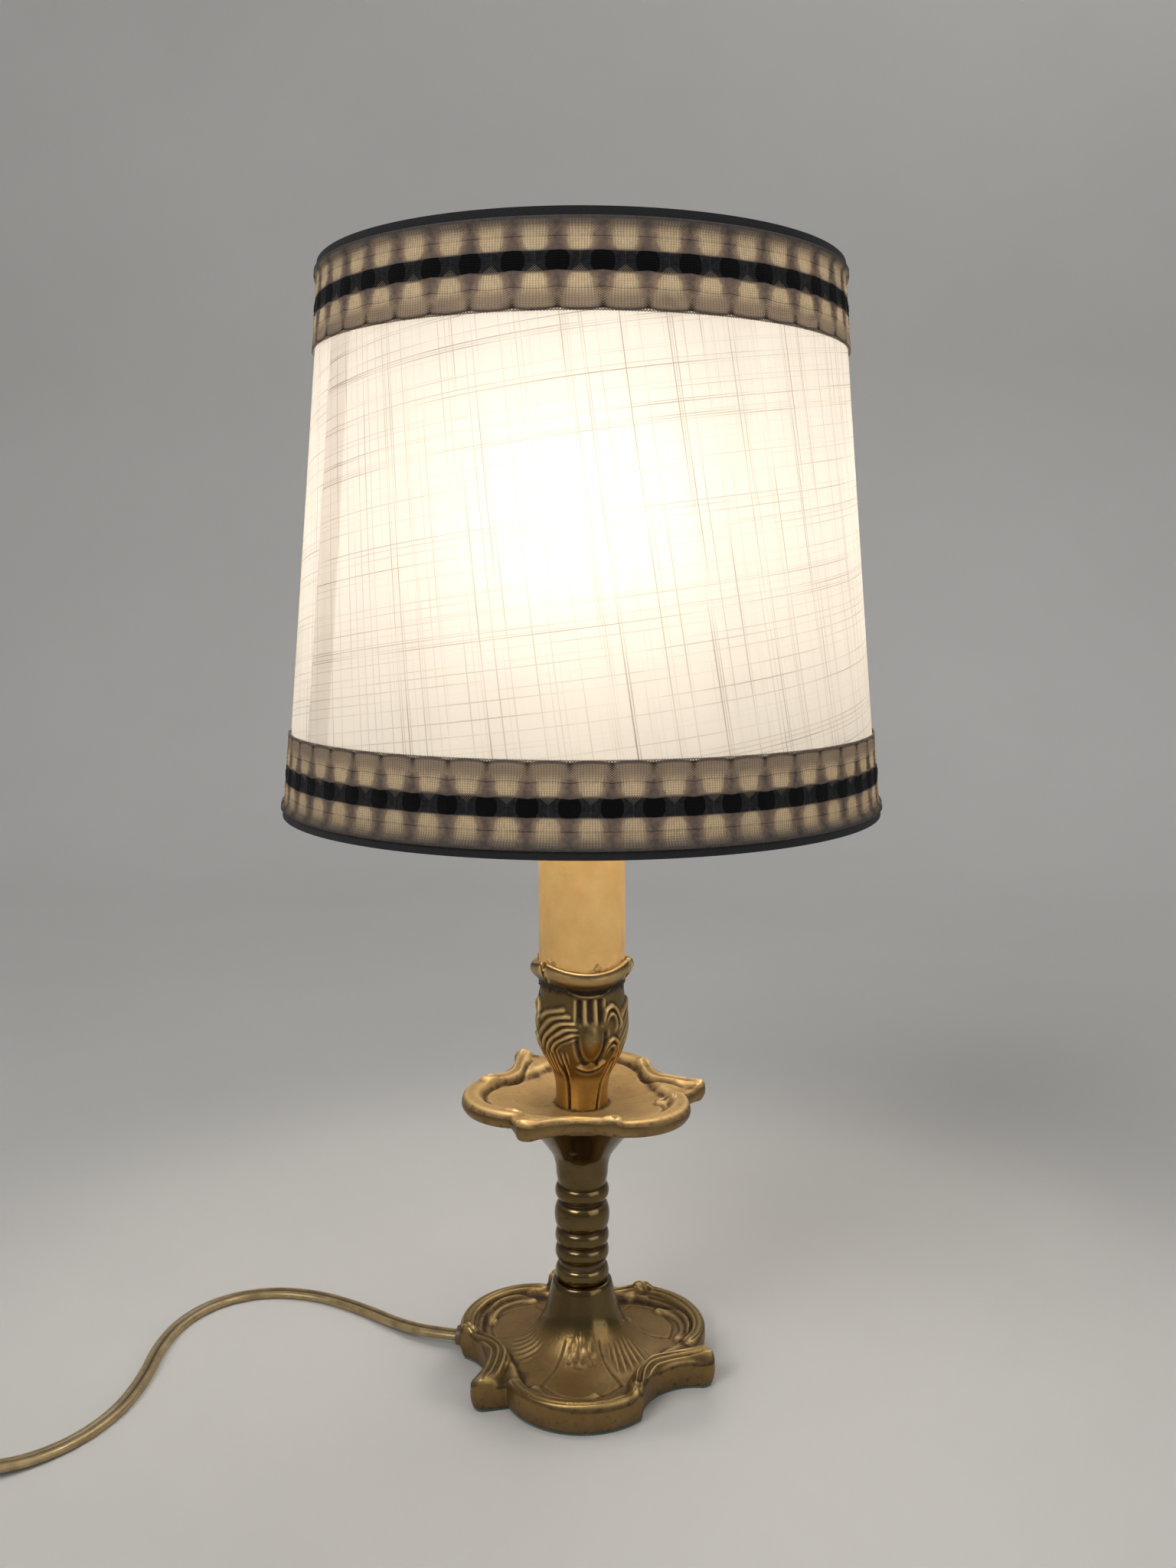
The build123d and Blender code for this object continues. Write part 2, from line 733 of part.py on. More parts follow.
with BuildPart() as centre_contact:
    with BuildSketch(Plane.XY.offset(holder_bore_z)):
        SlotOverall(contact_l, contact_w)
    extrude(amount=contact_t)
centre_contact.part.label = "centre_contact"
export_step(centre_contact.part, "parts/centre_contact.step")

terminal_z = holder_z - terminal_h
with BuildPart() as terminals:
    with BuildSketch(Plane.XY.offset(terminal_z)):
        with Locations((0, terminal_offset), (0, -terminal_offset)):
            Rectangle(terminal_side, terminal_side)
    extrude(amount=terminal_h)
terminals.part.label = "terminals"
export_step(terminals.part, "parts/terminals.step")

with BuildPart() as terminal_screws:
    for side in (-1, 1):
        face_y = side * (terminal_offset + terminal_side / 2)
        with BuildSketch(Plane(origin=(0, face_y, terminal_z + terminal_h / 2), z_dir=(0, side, 0))):
            Circle(terminal_screw_r)
        extrude(amount=terminal_screw_len)
terminal_screws.part.label = "terminal_screws"
export_step(terminal_screws.part, "parts/terminal_screws.step")

# Bulb: glass ball, screw cap, insulator, tip contact, and the mount and filament inside
mount_z = cap_top - cap_rim_h / 2
mount_top = mount_z + mount_h
with BuildPart() as bulb_glass:
    for r, neck in ((bulb_r, bulb_neck_r), (bulb_r - bulb_glass_t, bulb_neck_r - bulb_glass_t)):
        shoulder = (r * sin(radians(bulb_shoulder_deg)), bulb_z - r * cos(radians(bulb_shoulder_deg)))
        neck_top = cap_top + bulb_neck_rise
        with BuildSketch(Plane.XZ):
            with BuildLine():
                Polyline((0, mount_z), (neck, mount_z), (neck, neck_top))
                TangentArc((neck, neck_top), shoulder, tangent=(0, 1))
                ThreePointArc(shoulder, (r, bulb_z), (0, bulb_z + r))
                Line((0, bulb_z + r), (0, mount_z))
            make_face()
        revolve(axis=Axis.Z, mode=Mode.ADD if r == bulb_r else Mode.SUBTRACT)
bulb_glass.part.label = "bulb_glass"
export_step(bulb_glass.part, "parts/bulb_glass.step")

with BuildPart() as bulb_cap:
    with BuildSketch(Plane.XZ):
        Polygon((0, cap_z), (cap_r - cap_edge, cap_z), (cap_r, cap_z + cap_edge_h),
                (cap_r, cap_rim_z - cap_step_h), (cap_rim_r, cap_rim_z), (cap_rim_r, cap_top),
                (bulb_neck_r + cap_gap, cap_top), (bulb_neck_r + cap_gap, cap_rim_z),
                (cap_r - cap_wall, cap_rim_z - cap_step_h), (cap_r - cap_wall, cap_z + cap_wall),
                (0, cap_z + cap_wall))
    revolve(axis=Axis.Z)
bulb_cap.part.label = "bulb_cap"
export_step(bulb_cap.part, "parts/bulb_cap.step")

with BuildPart() as bulb_insulator:
    with BuildSketch(Plane.XZ):
        Polygon((0, insulator_z), (insulator_low_r, insulator_z), (insulator_high_r, cap_z), (0, cap_z))
    revolve(axis=Axis.Z)
bulb_insulator.part.label = "bulb_insulator"
export_step(bulb_insulator.part, "parts/bulb_insulator.step")

with BuildPart() as bulb_tip:
    with BuildSketch(Plane.XZ):
        Polygon((0, tip_z), (tip_face_r, tip_z), (tip_r, insulator_z), (0, insulator_z))
    revolve(axis=Axis.Z)
bulb_tip.part.label = "bulb_tip"
export_step(bulb_tip.part, "parts/bulb_tip.step")

with BuildPart() as bulb_mount:
    with BuildSketch(Plane.XZ):
        Polygon((0, mount_z), (bulb_neck_r - bulb_glass_t - cap_gap, mount_z),
                (mount_top_r, mount_z + mount_flare_h), (mount_top_r, mount_top), (0, mount_top))
    revolve(axis=Axis.Z)
bulb_mount.part.label = "bulb_mount"
export_step(bulb_mount.part, "parts/bulb_mount.step")

with BuildPart() as bulb_filament:
    wire_top = mount_top + lead_wire_rise
    with BuildLine() as filament_line:
        FilletPolyline((-lead_wire_x, 0, mount_top), (-lead_wire_x, 0, wire_top), (-filament_r, 0, bulb_z),
                       (0, filament_r, bulb_z), (filament_r, 0, bulb_z), (lead_wire_x, 0, wire_top),
                       (lead_wire_x, 0, mount_top), radius=lead_wire_bend)
    with BuildSketch(Plane(origin=(-lead_wire_x, 0, mount_top), z_dir=(0, 0, 1))):
        Circle(lead_wire_d / 2)
    sweep(path=filament_line.line)
bulb_filament.part.label = "bulb_filament"
export_step(bulb_filament.part, "parts/bulb_filament.step")

# Spring clip: two wire loops that grip the ball, under a plate that carries the swivel rivet
clip_near = ((bulb_r + clip_gap + clip_wire_r) ** 2 - clip_half_w ** 2) ** 0.5
clip_wire_z = clip_plate_z - clip_wire_r
clip_end_x = clip_near + clip_flare
clip_end_z = bulb_z - clip_reach
for side, name in ((-1, "clip_loop_left"), (1, "clip_loop_right")):
    leg = [(clip_join_x, -clip_half_w, clip_wire_z), (clip_near - clip_shoulder_x, -clip_half_w, clip_wire_z),
           (clip_near, -clip_half_w, bulb_z + clip_shoulder_h), (clip_near, -clip_half_w, bulb_z),
           (clip_end_x, -clip_half_w, clip_end_z), (clip_end_x, -clip_half_w, clip_end_z - clip_half_w)]
    loop = [(side * x, y, z) for x, y, z in leg] + [(side * x, -y, z) for x, y, z in reversed(leg)]
    with BuildPart() as clip_loop:
        with BuildLine() as loop_line:
            FilletPolyline(*loop, radius=[clip_bend_r] * 4 + [clip_end_r] * 2 + [clip_bend_r] * 4)
        with BuildSketch(section_plane(loop)):
            Circle(clip_wire_r)
        sweep(path=loop_line.line)
    clip_loop.part.label = name
    export_step(clip_loop.part, f"parts/{name}.step")

with BuildPart() as clip_plate:
    with BuildSketch(Plane.XY.offset(clip_plate_z)):
        RectangleRounded(clip_plate_l, clip_plate_w, clip_plate_corner)
        Circle(rivet_r, mode=Mode.SUBTRACT)
    extrude(amount=clip_plate_t)
clip_plate.part.label = "clip_plate"
export_step(clip_plate.part, "parts/clip_plate.step")

with BuildPart() as swivel_rivet:
    with BuildSketch(Plane.XY.offset(clip_plate_z)):
        Circle(rivet_r)
    extrude(amount=rivet_head_z - clip_plate_z)
    with BuildSketch(Plane.XY.offset(rivet_head_z)):
        Circle(rivet_head_r)
    extrude(amount=rivet_head_t)
    fillet(swivel_rivet.faces().sort_by(Axis.Z)[-1].edges(), rivet_head_t / 2)
swivel_rivet.part.label = "swivel_rivet"
export_step(swivel_rivet.part, "parts/swivel_rivet.step")

# Shade carrier: hub on the rivet, three arms and the two ring wires
with BuildPart() as carrier_hub:
    with BuildSketch(Plane.XY.offset(hub_z)):
        Circle(hub_r)
        Circle(rivet_r + swivel_gap, mode=Mode.SUBTRACT)
    extrude(amount=hub_t)
carrier_hub.part.label = "carrier_hub"
export_step(carrier_hub.part, "parts/carrier_hub.step")


def ring_radius(z):
    """Centre line of a ring wire that lies inside the liner at a height."""
    return shade_r(z) - fabric_t - liner_t - 3 * layer_gap - ring_wire_r


for name, z in (("top_ring", top_ring_z), ("bottom_ring", bottom_ring_z)):
    with BuildPart() as ring_wire:
        with Locations((0, 0, z)):
            Torus(ring_radius(z), ring_wire_r)
    ring_wire.part.label = name
    export_step(ring_wire.part, f"parts/{name}.step")

with BuildPart() as carrier_arms:
    for arm_deg in arm_degs:
        inner = polar(arm_root_r, arm_deg, hub_z + hub_t / 2)
        outer = polar(ring_radius(top_ring_z), arm_deg, top_ring_z)
        with BuildLine() as arm_line:
            Line(inner, outer)
        with BuildSketch(section_plane((inner, outer))):
            Circle(arm_d / 2)
        sweep(path=arm_line.line)
    with BuildSketch(Plane.XY.offset(hub_z - hub_r)):
        Circle(hub_r)
    extrude(amount=2 * hub_r, mode=Mode.SUBTRACT)
    with Locations((0, 0, top_ring_z)):
        Torus(ring_radius(top_ring_z), ring_wire_r, mode=Mode.SUBTRACT)
carrier_arms.part.label = "carrier_arms"
export_step(carrier_arms.part, "parts/carrier_arms.step")


def shade_layer(inner, outer, low, high):
    """Corners of a conical layer, between two offsets from the fabric's outer face and two heights."""
    return [(shade_r(low) + inner, low), (shade_r(low) + outer, low),
            (shade_r(high) + outer, high), (shade_r(high) + inner, high)]


skin_low = shade_z + edge_t
skin_high = shade_top - edge_t
with BuildPart() as shade_fabric:
    with BuildSketch(Plane.XZ):
        Polygon(*shade_layer(-fabric_t, 0, skin_low, skin_high))
    revolve(axis=Axis.Z)
shade_fabric.part.label = "shade_fabric"
export_step(shade_fabric.part, "parts/shade_fabric.step")

with BuildPart() as shade_liner:
    with BuildSketch(Plane.XZ):
        Polygon(*shade_layer(-fabric_t - layer_gap - liner_t, -fabric_t - layer_gap, skin_low, skin_high))
    revolve(axis=Axis.Z)
shade_liner.part.label = "shade_liner"
export_step(shade_liner.part, "parts/shade_liner.step")

# Edge tapes over the two rims and the woven braids beside them
for name, rim, inward in (("top_edge_tape", shade_top, -1), ("bottom_edge_tape", shade_z, 1)):
    under = rim + inward * edge_t
    leg_end = rim + inward * (edge_t + edge_leg)
    with BuildPart() as edge_tape:
        with BuildSketch(Plane.XZ):
            Polygon((ring_radius(under) - ring_wire_r, rim), (shade_r(rim) + edge_proud, rim),
                    (shade_r(leg_end) + edge_proud, leg_end), (shade_r(leg_end) + layer_gap, leg_end),
                    (shade_r(under) + layer_gap, under), (ring_radius(under) - ring_wire_r, under))
        revolve(axis=Axis.Z)
    edge_tape.part.label = name
    export_step(edge_tape.part, f"parts/{name}.step")

top_braid_high = shade_top - edge_t - edge_leg - layer_gap
bottom_braid_low = shade_z + edge_t + edge_leg + layer_gap
for name, low in (("top_braid", top_braid_high - braid_w), ("bottom_braid", bottom_braid_low)):
    with BuildPart() as braid:
        with BuildSketch(Plane.XZ):
            Polygon(*shade_layer(layer_gap, layer_gap + braid_t, low, low + braid_w))
        revolve(axis=Axis.Z)
    braid.part.label = name
    export_step(braid.part, f"parts/{name}.step")

# Bush in the foot's wall, where the lead comes out
with BuildPart() as cord_bush:
    with BuildSketch(exit_plane):
        Circle(bush_od / 2)
        Circle(cord_r + cord_gap, mode=Mode.SUBTRACT)
    extrude(amount=bush_out_r - bush_in_r)
cord_bush.part.label = "cord_bush"
export_step(cord_bush.part, "parts/cord_bush.step")

# The two cores inside: from the bush under the foot, up the tube and out to the terminals
core_low_z = felt_t + core_d / 2 + core_low_gap
with BuildPart() as inner_cores:
    side_step = Vector(*polar(core_side, exit_deg - 90))
    for side in (-1, 1):
        shift = side_step * side
        along = [polar(lead_start_r, exit_deg, exit_z), polar(core_turn_r, exit_deg, exit_z),
                 polar(core_low_r, exit_deg, core_low_z),
                 polar(core_rise_r, exit_deg, core_low_z + core_rise)]
        route = [Vector(*p) + shift for p in along]
        route += [Vector(shift.X, shift.Y, tube_z + core_in_tube),
                  Vector(0, side * core_side, tube_top - core_twist_drop),
                  Vector(0, side * core_side, tube_top + core_out_rise),
                  Vector(0, side * terminal_offset, terminal_z - core_end_run),
                  Vector(0, side * terminal_offset, terminal_z)]
        with BuildLine() as core_line:
            FilletPolyline(*route, radius=list(core_bends))
        with BuildSketch(section_plane([tuple(p) for p in route])):
            Circle(core_d / 2)
        sweep(path=core_line.line)
inner_cores.part.label = "inner_cores"
export_step(inner_cores.part, "parts/inner_cores.step")


# Lead on the table: from the bush, back and left, then round to the front and into the switch
def heading_point(start, deg, distance, z):
    """Point on the table a distance away from a start, in a heading."""
    return (start[0] + distance * cos(radians(deg)), start[1] + distance * sin(radians(deg)), z)


switch_in = heading_point(switch_centre, switch_heading, switch_cord_set - switch_l / 2, switch_split)
switch_out = heading_point(switch_centre, switch_heading, switch_l / 2 - switch_cord_set, switch_split)
lead_route = [polar(lead_start_r, exit_deg, exit_z), polar(lead_clear_r, exit_deg, exit_z),
              (-62.0, 19.0, 2.9), (-76.0, 31.0, 2.5), (-92.5, 40.5, 2.5), (-110.0, 43.8, 2.5),
              (-126.0, 38.5, 2.5),
              (-136.5, 25.0, 2.5), (-140.0, 7.0, 2.5), (-139.0, -13.0, 2.5), (-141.5, -32.0, 2.5),
              (-150.0, -48.5, 2.5), (-163.5, -60.5, 2.5),
              heading_point(switch_centre, switch_heading, -switch_lead_in - switch_l / 2, switch_split),
              switch_in]
coil_start = polar(coil_r, coil_start_deg, coil_z)
coil_first = (coil_centre[0] + coil_start[0], coil_centre[1] + coil_start[1] + cord_d, coil_z)
link_route = [switch_out, heading_point(switch_out, switch_heading, switch_lead_out, switch_split),
              (-260.0, -84.6, 5.4),
              (-265.0, -93.5, 4.6), (-266.2, -104.0, 4.1),
              (coil_first[0], coil_first[1] + coil_in_run, coil_z), coil_first]

lengths = []
for name, route in (("cord_lead", lead_route), ("cord_link", link_route)):
    with BuildPart() as cord_run:
        with BuildLine() as cord_line:
            FilletPolyline(*route, radius=bend_radii(route))
        with BuildSketch(section_plane(route)):
            Circle(cord_r)
        sweep(path=cord_line.line)
    lengths.append(cord_line.wires()[0].length)
    print_route(name, route, lengths[-1], cord_run.part)
    cord_run.part.label = name
    export_step(cord_run.part, f"parts/{name}.step")


# Coil of the length put away: spirals in on the table, climbs, and spirals out on top
def coil_point(turn):
    """Centre of the lead after some turns, counted from the coil's start."""
    deg = coil_start_deg + 360 * turn
    inwards = coil_turns - abs(turn - coil_turns)
    climb = min(max((turn - coil_turns) / coil_climb_turns + 0.5, 0.0), 1.0)
    r = coil_r - coil_pitch * inwards
    z = coil_z + coil_pitch * climb * climb * (3 - 2 * climb)
    x, y = polar(r, deg)
    return Vector(coil_centre[0] + x, coil_centre[1] + y, z)


def coil_tangent(turn):
    """Heading of the lead after some turns."""
    step = 1e-4
    return (coil_point(turn + step) - coil_point(turn - step)).normalized()


def biarc(start, start_heading, end, end_heading):
    """Two arcs that meet smoothly, from a point and heading to another."""
    chord = end - start
    both = start_heading + end_heading
    bend = 2 * (1 - start_heading.dot(end_heading))
    along = chord.dot(both)
    reach = (-along + (along ** 2 + bend * chord.dot(chord)) ** 0.5) / bend
    middle = (start + end + (start_heading - end_heading) * reach) * 0.5
    TangentArc(start, middle, tangent=start_heading)
    TangentArc(middle, end, tangent=(end - end_heading * reach) - (start + start_heading * reach))


coil_steps = round(2 * coil_turns * 4)
stops = [2 * coil_turns * k / coil_steps for k in range(coil_steps + 1)]
coil_in_heading = Vector(0, -1, 0)
coil_out_heading = coil_tangent(stops[-1] - 1e-3)
coil_end = coil_point(stops[-1])
coil_last = coil_end + coil_out_heading * cord_d
with BuildPart() as cord_coil:
    with BuildLine() as coil_line:
        Line(coil_first, coil_point(0))
        for first, second in zip(stops, stops[1:]):
            heading = coil_in_heading if first == 0 else coil_tangent(first)
            next_heading = coil_out_heading if second == stops[-1] else coil_tangent(second)
            biarc(coil_point(first), heading, coil_point(second), next_heading)
        Line(coil_end, coil_last)
    with BuildSketch(Plane(origin=coil_first, z_dir=coil_in_heading)):
        Circle(cord_r)
    sweep(path=coil_line.line)
cord_coil.part.label = "cord_coil"
export_step(cord_coil.part, "parts/cord_coil.step")

coil_path = coil_line.wires()[0]
coil_length = coil_path.length
mark_count = 600
marks = [coil_path.position_at(k / mark_count) for k in range(mark_count + 1)]
mark_gap = coil_length / mark_count
least = min((marks[i] - marks[j]).length for i in range(mark_count + 1) for j in range(i)
            if (i - j) * mark_gap > 8 * cord_d) - cord_d
print("cord_coil gap to itself", round(least, 2), "length", round(coil_length, 1),
      "volume", round(cord_coil.part.volume, 1), round(pi * cord_r ** 2 * coil_length, 1))

# Tie round the coil
tie_in = coil_r - coil_pitch * coil_turns - cord_r - tie_gap
tie_out = coil_r + cord_r + tie_gap
tie_top = coil_top_z + cord_r + tie_gap
tie_plane = Plane(origin=(*coil_centre, 0), x_dir=(*polar(1, tie_deg), 0), z_dir=(*polar(1, tie_deg - 90), 0))
with BuildPart() as coil_tie:
    with BuildSketch(tie_plane.offset(-tie_w / 2)):
        with Locations(((tie_in + tie_out) / 2, (tie_top + tie_t) / 2)):
            RectangleRounded(tie_out - tie_in + 2 * tie_t, tie_top + tie_t, tie_corner)
            RectangleRounded(tie_out - tie_in, tie_top - tie_t, tie_hole_corner, mode=Mode.SUBTRACT)
    extrude(amount=tie_w)
coil_tie.part.label = "coil_tie"
export_step(coil_tie.part, "parts/coil_tie.step")

# Tail from the coil to the plug
plug_mid_z = plug_t / 2
tail_route = [tuple(coil_last), tuple(coil_last + coil_out_heading * coil_out_run), (-186.0, -159.6, 8.0),
              (plug_at[0] - plug_cord_run, plug_at[1], plug_mid_z),
              (plug_at[0] + plug_cord_set, plug_at[1], plug_mid_z)]
with BuildPart() as cord_tail:
    with BuildLine() as tail_line:
        FilletPolyline(*tail_route, radius=bend_radii(tail_route))
    with BuildSketch(section_plane(tail_route)):
        Circle(cord_r)
    sweep(path=tail_line.line)
lengths.append(tail_line.wires()[0].length)
print_route("cord_tail", tail_route, lengths[-1], cord_tail.part)
cord_tail.part.label = "cord_tail"
export_step(cord_tail.part, "parts/cord_tail.step")
print("whole lead", round(sum(lengths) + coil_length + switch_l - 2 * switch_cord_set, 1))

# In-line switch: two shells held by screws, with a rocker on an axle
switch_plane = Plane(origin=(*switch_centre, 0), x_dir=(*polar(1, switch_heading), 0), z_dir=(0, 0, 1))
switch_back = (*polar(-1, switch_heading), 0)
switch_hole_plane = Plane(origin=switch_in, x_dir=(0, 0, 1), z_dir=switch_back).offset(-switch_l)
screw_places = ((switch_screw_x, switch_screw_y), (-switch_screw_x, -switch_screw_y))
inner_corner = switch_corner - switch_wall
with BuildPart() as switch_base:
    with BuildSketch(switch_plane):
        RectangleRounded(switch_l, switch_w, switch_corner)
    extrude(amount=switch_base_h)
    with BuildSketch(switch_plane.offset(switch_wall)):
        RectangleRounded(switch_l - 2 * switch_wall, switch_w - 2 * switch_wall, inner_corner)
        with Locations(*screw_places):
            Circle(switch_post_r, mode=Mode.SUBTRACT)
    extrude(amount=switch_base_h, mode=Mode.SUBTRACT)
    with BuildSketch(switch_plane):
        with Locations(*screw_places):
            Circle(switch_screw_r + tube_gap)
    extrude(amount=switch_base_h, mode=Mode.SUBTRACT)
    with BuildSketch(switch_plane):
        with Locations(*screw_places):
            Circle(switch_screw_head_r + tube_gap)
    extrude(amount=switch_screw_head_t + switch_screw_sink, mode=Mode.SUBTRACT)
    with BuildSketch(switch_hole_plane):
        Circle(cord_r + cord_gap)
    extrude(amount=2 * switch_l, mode=Mode.SUBTRACT)
switch_base.part.label = "switch_base"
export_step(switch_base.part, "parts/switch_base.step")

rocker_z = switch_top - axle_below_top
lug_in = rocker_w / 2 + rocker_clear
lug_out = axle_len / 2 + lug_wall
axle_plane = Plane(origin=(*switch_centre, rocker_z), z_dir=switch_plane.y_dir)
with BuildPart() as switch_cover:
    with BuildSketch(switch_plane.offset(switch_split)):
        RectangleRounded(switch_l, switch_w, switch_corner)
    extrude(amount=switch_top_h)
    fillet(switch_cover.faces().sort_by(Axis.Z)[-1].edges(), switch_wall)
    with BuildSketch(switch_plane.offset(switch_split)):
        RectangleRounded(switch_l - 2 * switch_wall, switch_w - 2 * switch_wall, inner_corner)
        with Locations(*screw_places):
            Circle(switch_post_r, mode=Mode.SUBTRACT)
    extrude(amount=switch_top_h - switch_wall, mode=Mode.SUBTRACT)
    with BuildSketch(switch_plane.offset(rocker_z - 2 * axle_r)):
        with Locations((0, (lug_in + lug_out) / 2), (0, -(lug_in + lug_out) / 2)):
            Rectangle(4 * axle_r, lug_out - lug_in)
    extrude(amount=switch_top - switch_wall - rocker_z + 2 * axle_r + lug_into_top)
    with BuildSketch(switch_plane.offset(rocker_z)):
        Rectangle(2 * (rocker_r + rocker_clear), rocker_w + 2 * rocker_clear)
    extrude(amount=switch_top_h, mode=Mode.SUBTRACT)
    with BuildSketch(axle_plane.offset(-axle_len / 2 - axle_end_gap)):
        Circle(axle_r + axle_gap)
    extrude(amount=axle_len + 2 * axle_end_gap, mode=Mode.SUBTRACT)
    with BuildSketch(switch_plane):
        with Locations(*screw_places):
            Circle(switch_screw_r + cord_gap)
    extrude(amount=switch_top - switch_wall, mode=Mode.SUBTRACT)
    with BuildSketch(switch_hole_plane):
        Circle(cord_r + cord_gap)
    extrude(amount=2 * switch_l, mode=Mode.SUBTRACT)
switch_cover.part.label = "switch_cover"
export_step(switch_cover.part, "parts/switch_cover.step")

tilt = radians(rocker_tilt)
rocker_plane = Plane(origin=(*switch_centre, rocker_z), z_dir=switch_plane.y_dir,
                     x_dir=switch_plane.x_dir * cos(tilt) + Vector(0, 0, -sin(tilt)))
with BuildPart() as switch_rocker:
    with BuildSketch(rocker_plane.offset(-rocker_w / 2)):
        Circle(rocker_r)
        with Locations((0, -rocker_top - rocker_r)):
            Rectangle(4 * rocker_r, 2 * rocker_r, mode=Mode.SUBTRACT)
        with Locations((0, rocker_under + rocker_r)):
            Rectangle(4 * rocker_r, 2 * rocker_r, mode=Mode.SUBTRACT)
        Circle(axle_r, mode=Mode.SUBTRACT)
    extrude(amount=rocker_w)
switch_rocker.part.label = "switch_rocker"
export_step(switch_rocker.part, "parts/switch_rocker.step")

with BuildPart() as rocker_axle:
    with BuildSketch(axle_plane.offset(-axle_len / 2)):
        Circle(axle_r)
    extrude(amount=axle_len)
rocker_axle.part.label = "rocker_axle"
export_step(rocker_axle.part, "parts/rocker_axle.step")

with BuildPart() as switch_screws:
    with BuildSketch(switch_plane.offset(switch_screw_sink)):
        with Locations(*screw_places):
            Circle(switch_screw_head_r)
    extrude(amount=switch_screw_head_t)
    with BuildSketch(switch_plane.offset(switch_screw_sink)):
        with Locations(*screw_places):
            Circle(switch_screw_r)
    extrude(amount=switch_top - switch_wall - switch_screw_short)
switch_screws.part.label = "switch_screws"
export_step(switch_screws.part, "parts/switch_screws.step")

with BuildPart() as switch_contacts:
    with BuildSketch(switch_plane.offset(switch_wall)):
        with Locations((contact_strip_x, 0), (-contact_strip_x, 0)):
            Rectangle(contact_strip_l, contact_strip_w)
    extrude(amount=contact_strip_t)
switch_contacts.part.label = "switch_contacts"
export_step(switch_contacts.part, "parts/switch_contacts.step")

# Flat two-pin plug, lying on the table
plug_plane = Plane(origin=(*plug_at, 0), x_dir=(1, 0, 0), z_dir=(0, 0, 1))
pin_plane = Plane(origin=(plug_at[0] + plug_len, plug_at[1], plug_mid_z), z_dir=(1, 0, 0))
pin_places = ((0, plug_pin_gap / 2), (0, -plug_pin_gap / 2))
with BuildPart() as plug_body:
    with BuildSketch(plug_plane):
        with BuildLine():
            half = [(0, plug_neck_w / 2), (plug_waist_x, plug_waist_w / 2),
                    (plug_shoulder_x, plug_shoulder_w / 2), (plug_len, plug_face_w / 2)]
            Polyline(*half, *[(x, -y) for x, y in reversed(half)], close=True)
        make_face()
    extrude(amount=plug_t)
    fillet(plug_body.edges().filter_by(Plane.XY).group_by(Axis.Z)[-1], plug_fillet)
    fillet(plug_body.edges().filter_by(Plane.XY).group_by(Axis.Z)[0], plug_fillet)
    with BuildSketch(Plane(origin=(*plug_at, plug_mid_z), z_dir=(1, 0, 0))):
        Circle(cord_r + cord_gap)
    extrude(amount=plug_cord_set + layer_gap, mode=Mode.SUBTRACT)
    with BuildSketch(pin_plane.offset(-plug_pin_set)):
        with Locations(*pin_places):
            Circle(plug_pin_core_d / 2)
    extrude(amount=plug_pin_set, mode=Mode.SUBTRACT)
plug_body.part.label = "plug_body"
export_step(plug_body.part, "parts/plug_body.step")

with BuildPart() as plug_pins:
    with BuildSketch(pin_plane.offset(-plug_pin_set)):
        with Locations(*pin_places):
            Circle(plug_pin_core_d / 2)
    extrude(amount=plug_pin_set + plug_pin_sleeve)
    with BuildSketch(pin_plane.offset(plug_pin_sleeve)):
        with Locations(*pin_places):
            Circle(plug_pin_d / 2)
    extrude(amount=plug_pin_len - plug_pin_sleeve)
    fillet(plug_pins.faces().sort_by(Axis.X)[-2:].edges(), plug_pin_d / 5)
plug_pins.part.label = "plug_pins"
export_step(plug_pins.part, "parts/plug_pins.step")

with BuildPart() as pin_sleeves:
    with BuildSketch(pin_plane):
        with Locations(*pin_places):
            Circle(plug_pin_d / 2)
        with Locations(*pin_places):
            Circle(plug_pin_core_d / 2, mode=Mode.SUBTRACT)
    extrude(amount=plug_pin_sleeve)
pin_sleeves.part.label = "pin_sleeves"
export_step(pin_sleeves.part, "parts/pin_sleeves.step")
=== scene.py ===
import math
from functools import partial

import bpy
import numpy as np
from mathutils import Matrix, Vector


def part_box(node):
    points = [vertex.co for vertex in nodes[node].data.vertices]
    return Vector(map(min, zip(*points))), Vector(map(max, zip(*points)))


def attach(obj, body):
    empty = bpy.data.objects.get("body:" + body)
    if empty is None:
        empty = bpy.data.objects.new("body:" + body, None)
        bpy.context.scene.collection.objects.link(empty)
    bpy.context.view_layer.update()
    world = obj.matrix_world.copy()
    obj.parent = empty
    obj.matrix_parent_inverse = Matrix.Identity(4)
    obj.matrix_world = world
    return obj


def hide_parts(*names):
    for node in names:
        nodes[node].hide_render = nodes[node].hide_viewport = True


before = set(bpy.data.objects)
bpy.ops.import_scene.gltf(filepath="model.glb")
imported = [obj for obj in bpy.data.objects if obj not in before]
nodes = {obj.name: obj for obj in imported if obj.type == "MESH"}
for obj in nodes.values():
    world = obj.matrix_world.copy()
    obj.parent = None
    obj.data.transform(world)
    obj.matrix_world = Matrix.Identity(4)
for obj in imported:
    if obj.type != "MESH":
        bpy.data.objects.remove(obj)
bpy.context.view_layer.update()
bpy.context.scene.view_settings.view_transform = "Standard"

# Felt
# A piece of green baize cut to the foot's outline. It is glued under the casting,
# so that the metal does not scratch the table.


def feed(made, inputs):
    """Sets a node's inputs to values, or links them to other nodes' sockets."""
    for name, value in inputs.items():
        if isinstance(value, bpy.types.NodeSocket):
            made.id_data.links.new(value, made.inputs[name])
        else:
            made.inputs[name].default_value = value
    return made


def put(tree, kind, inputs=None, **settings):
    """A new node with its settings and its inputs."""
    made = tree.nodes.new(kind)
    for name, value in settings.items():
        setattr(made, name, value)
    return feed(made, inputs or {})


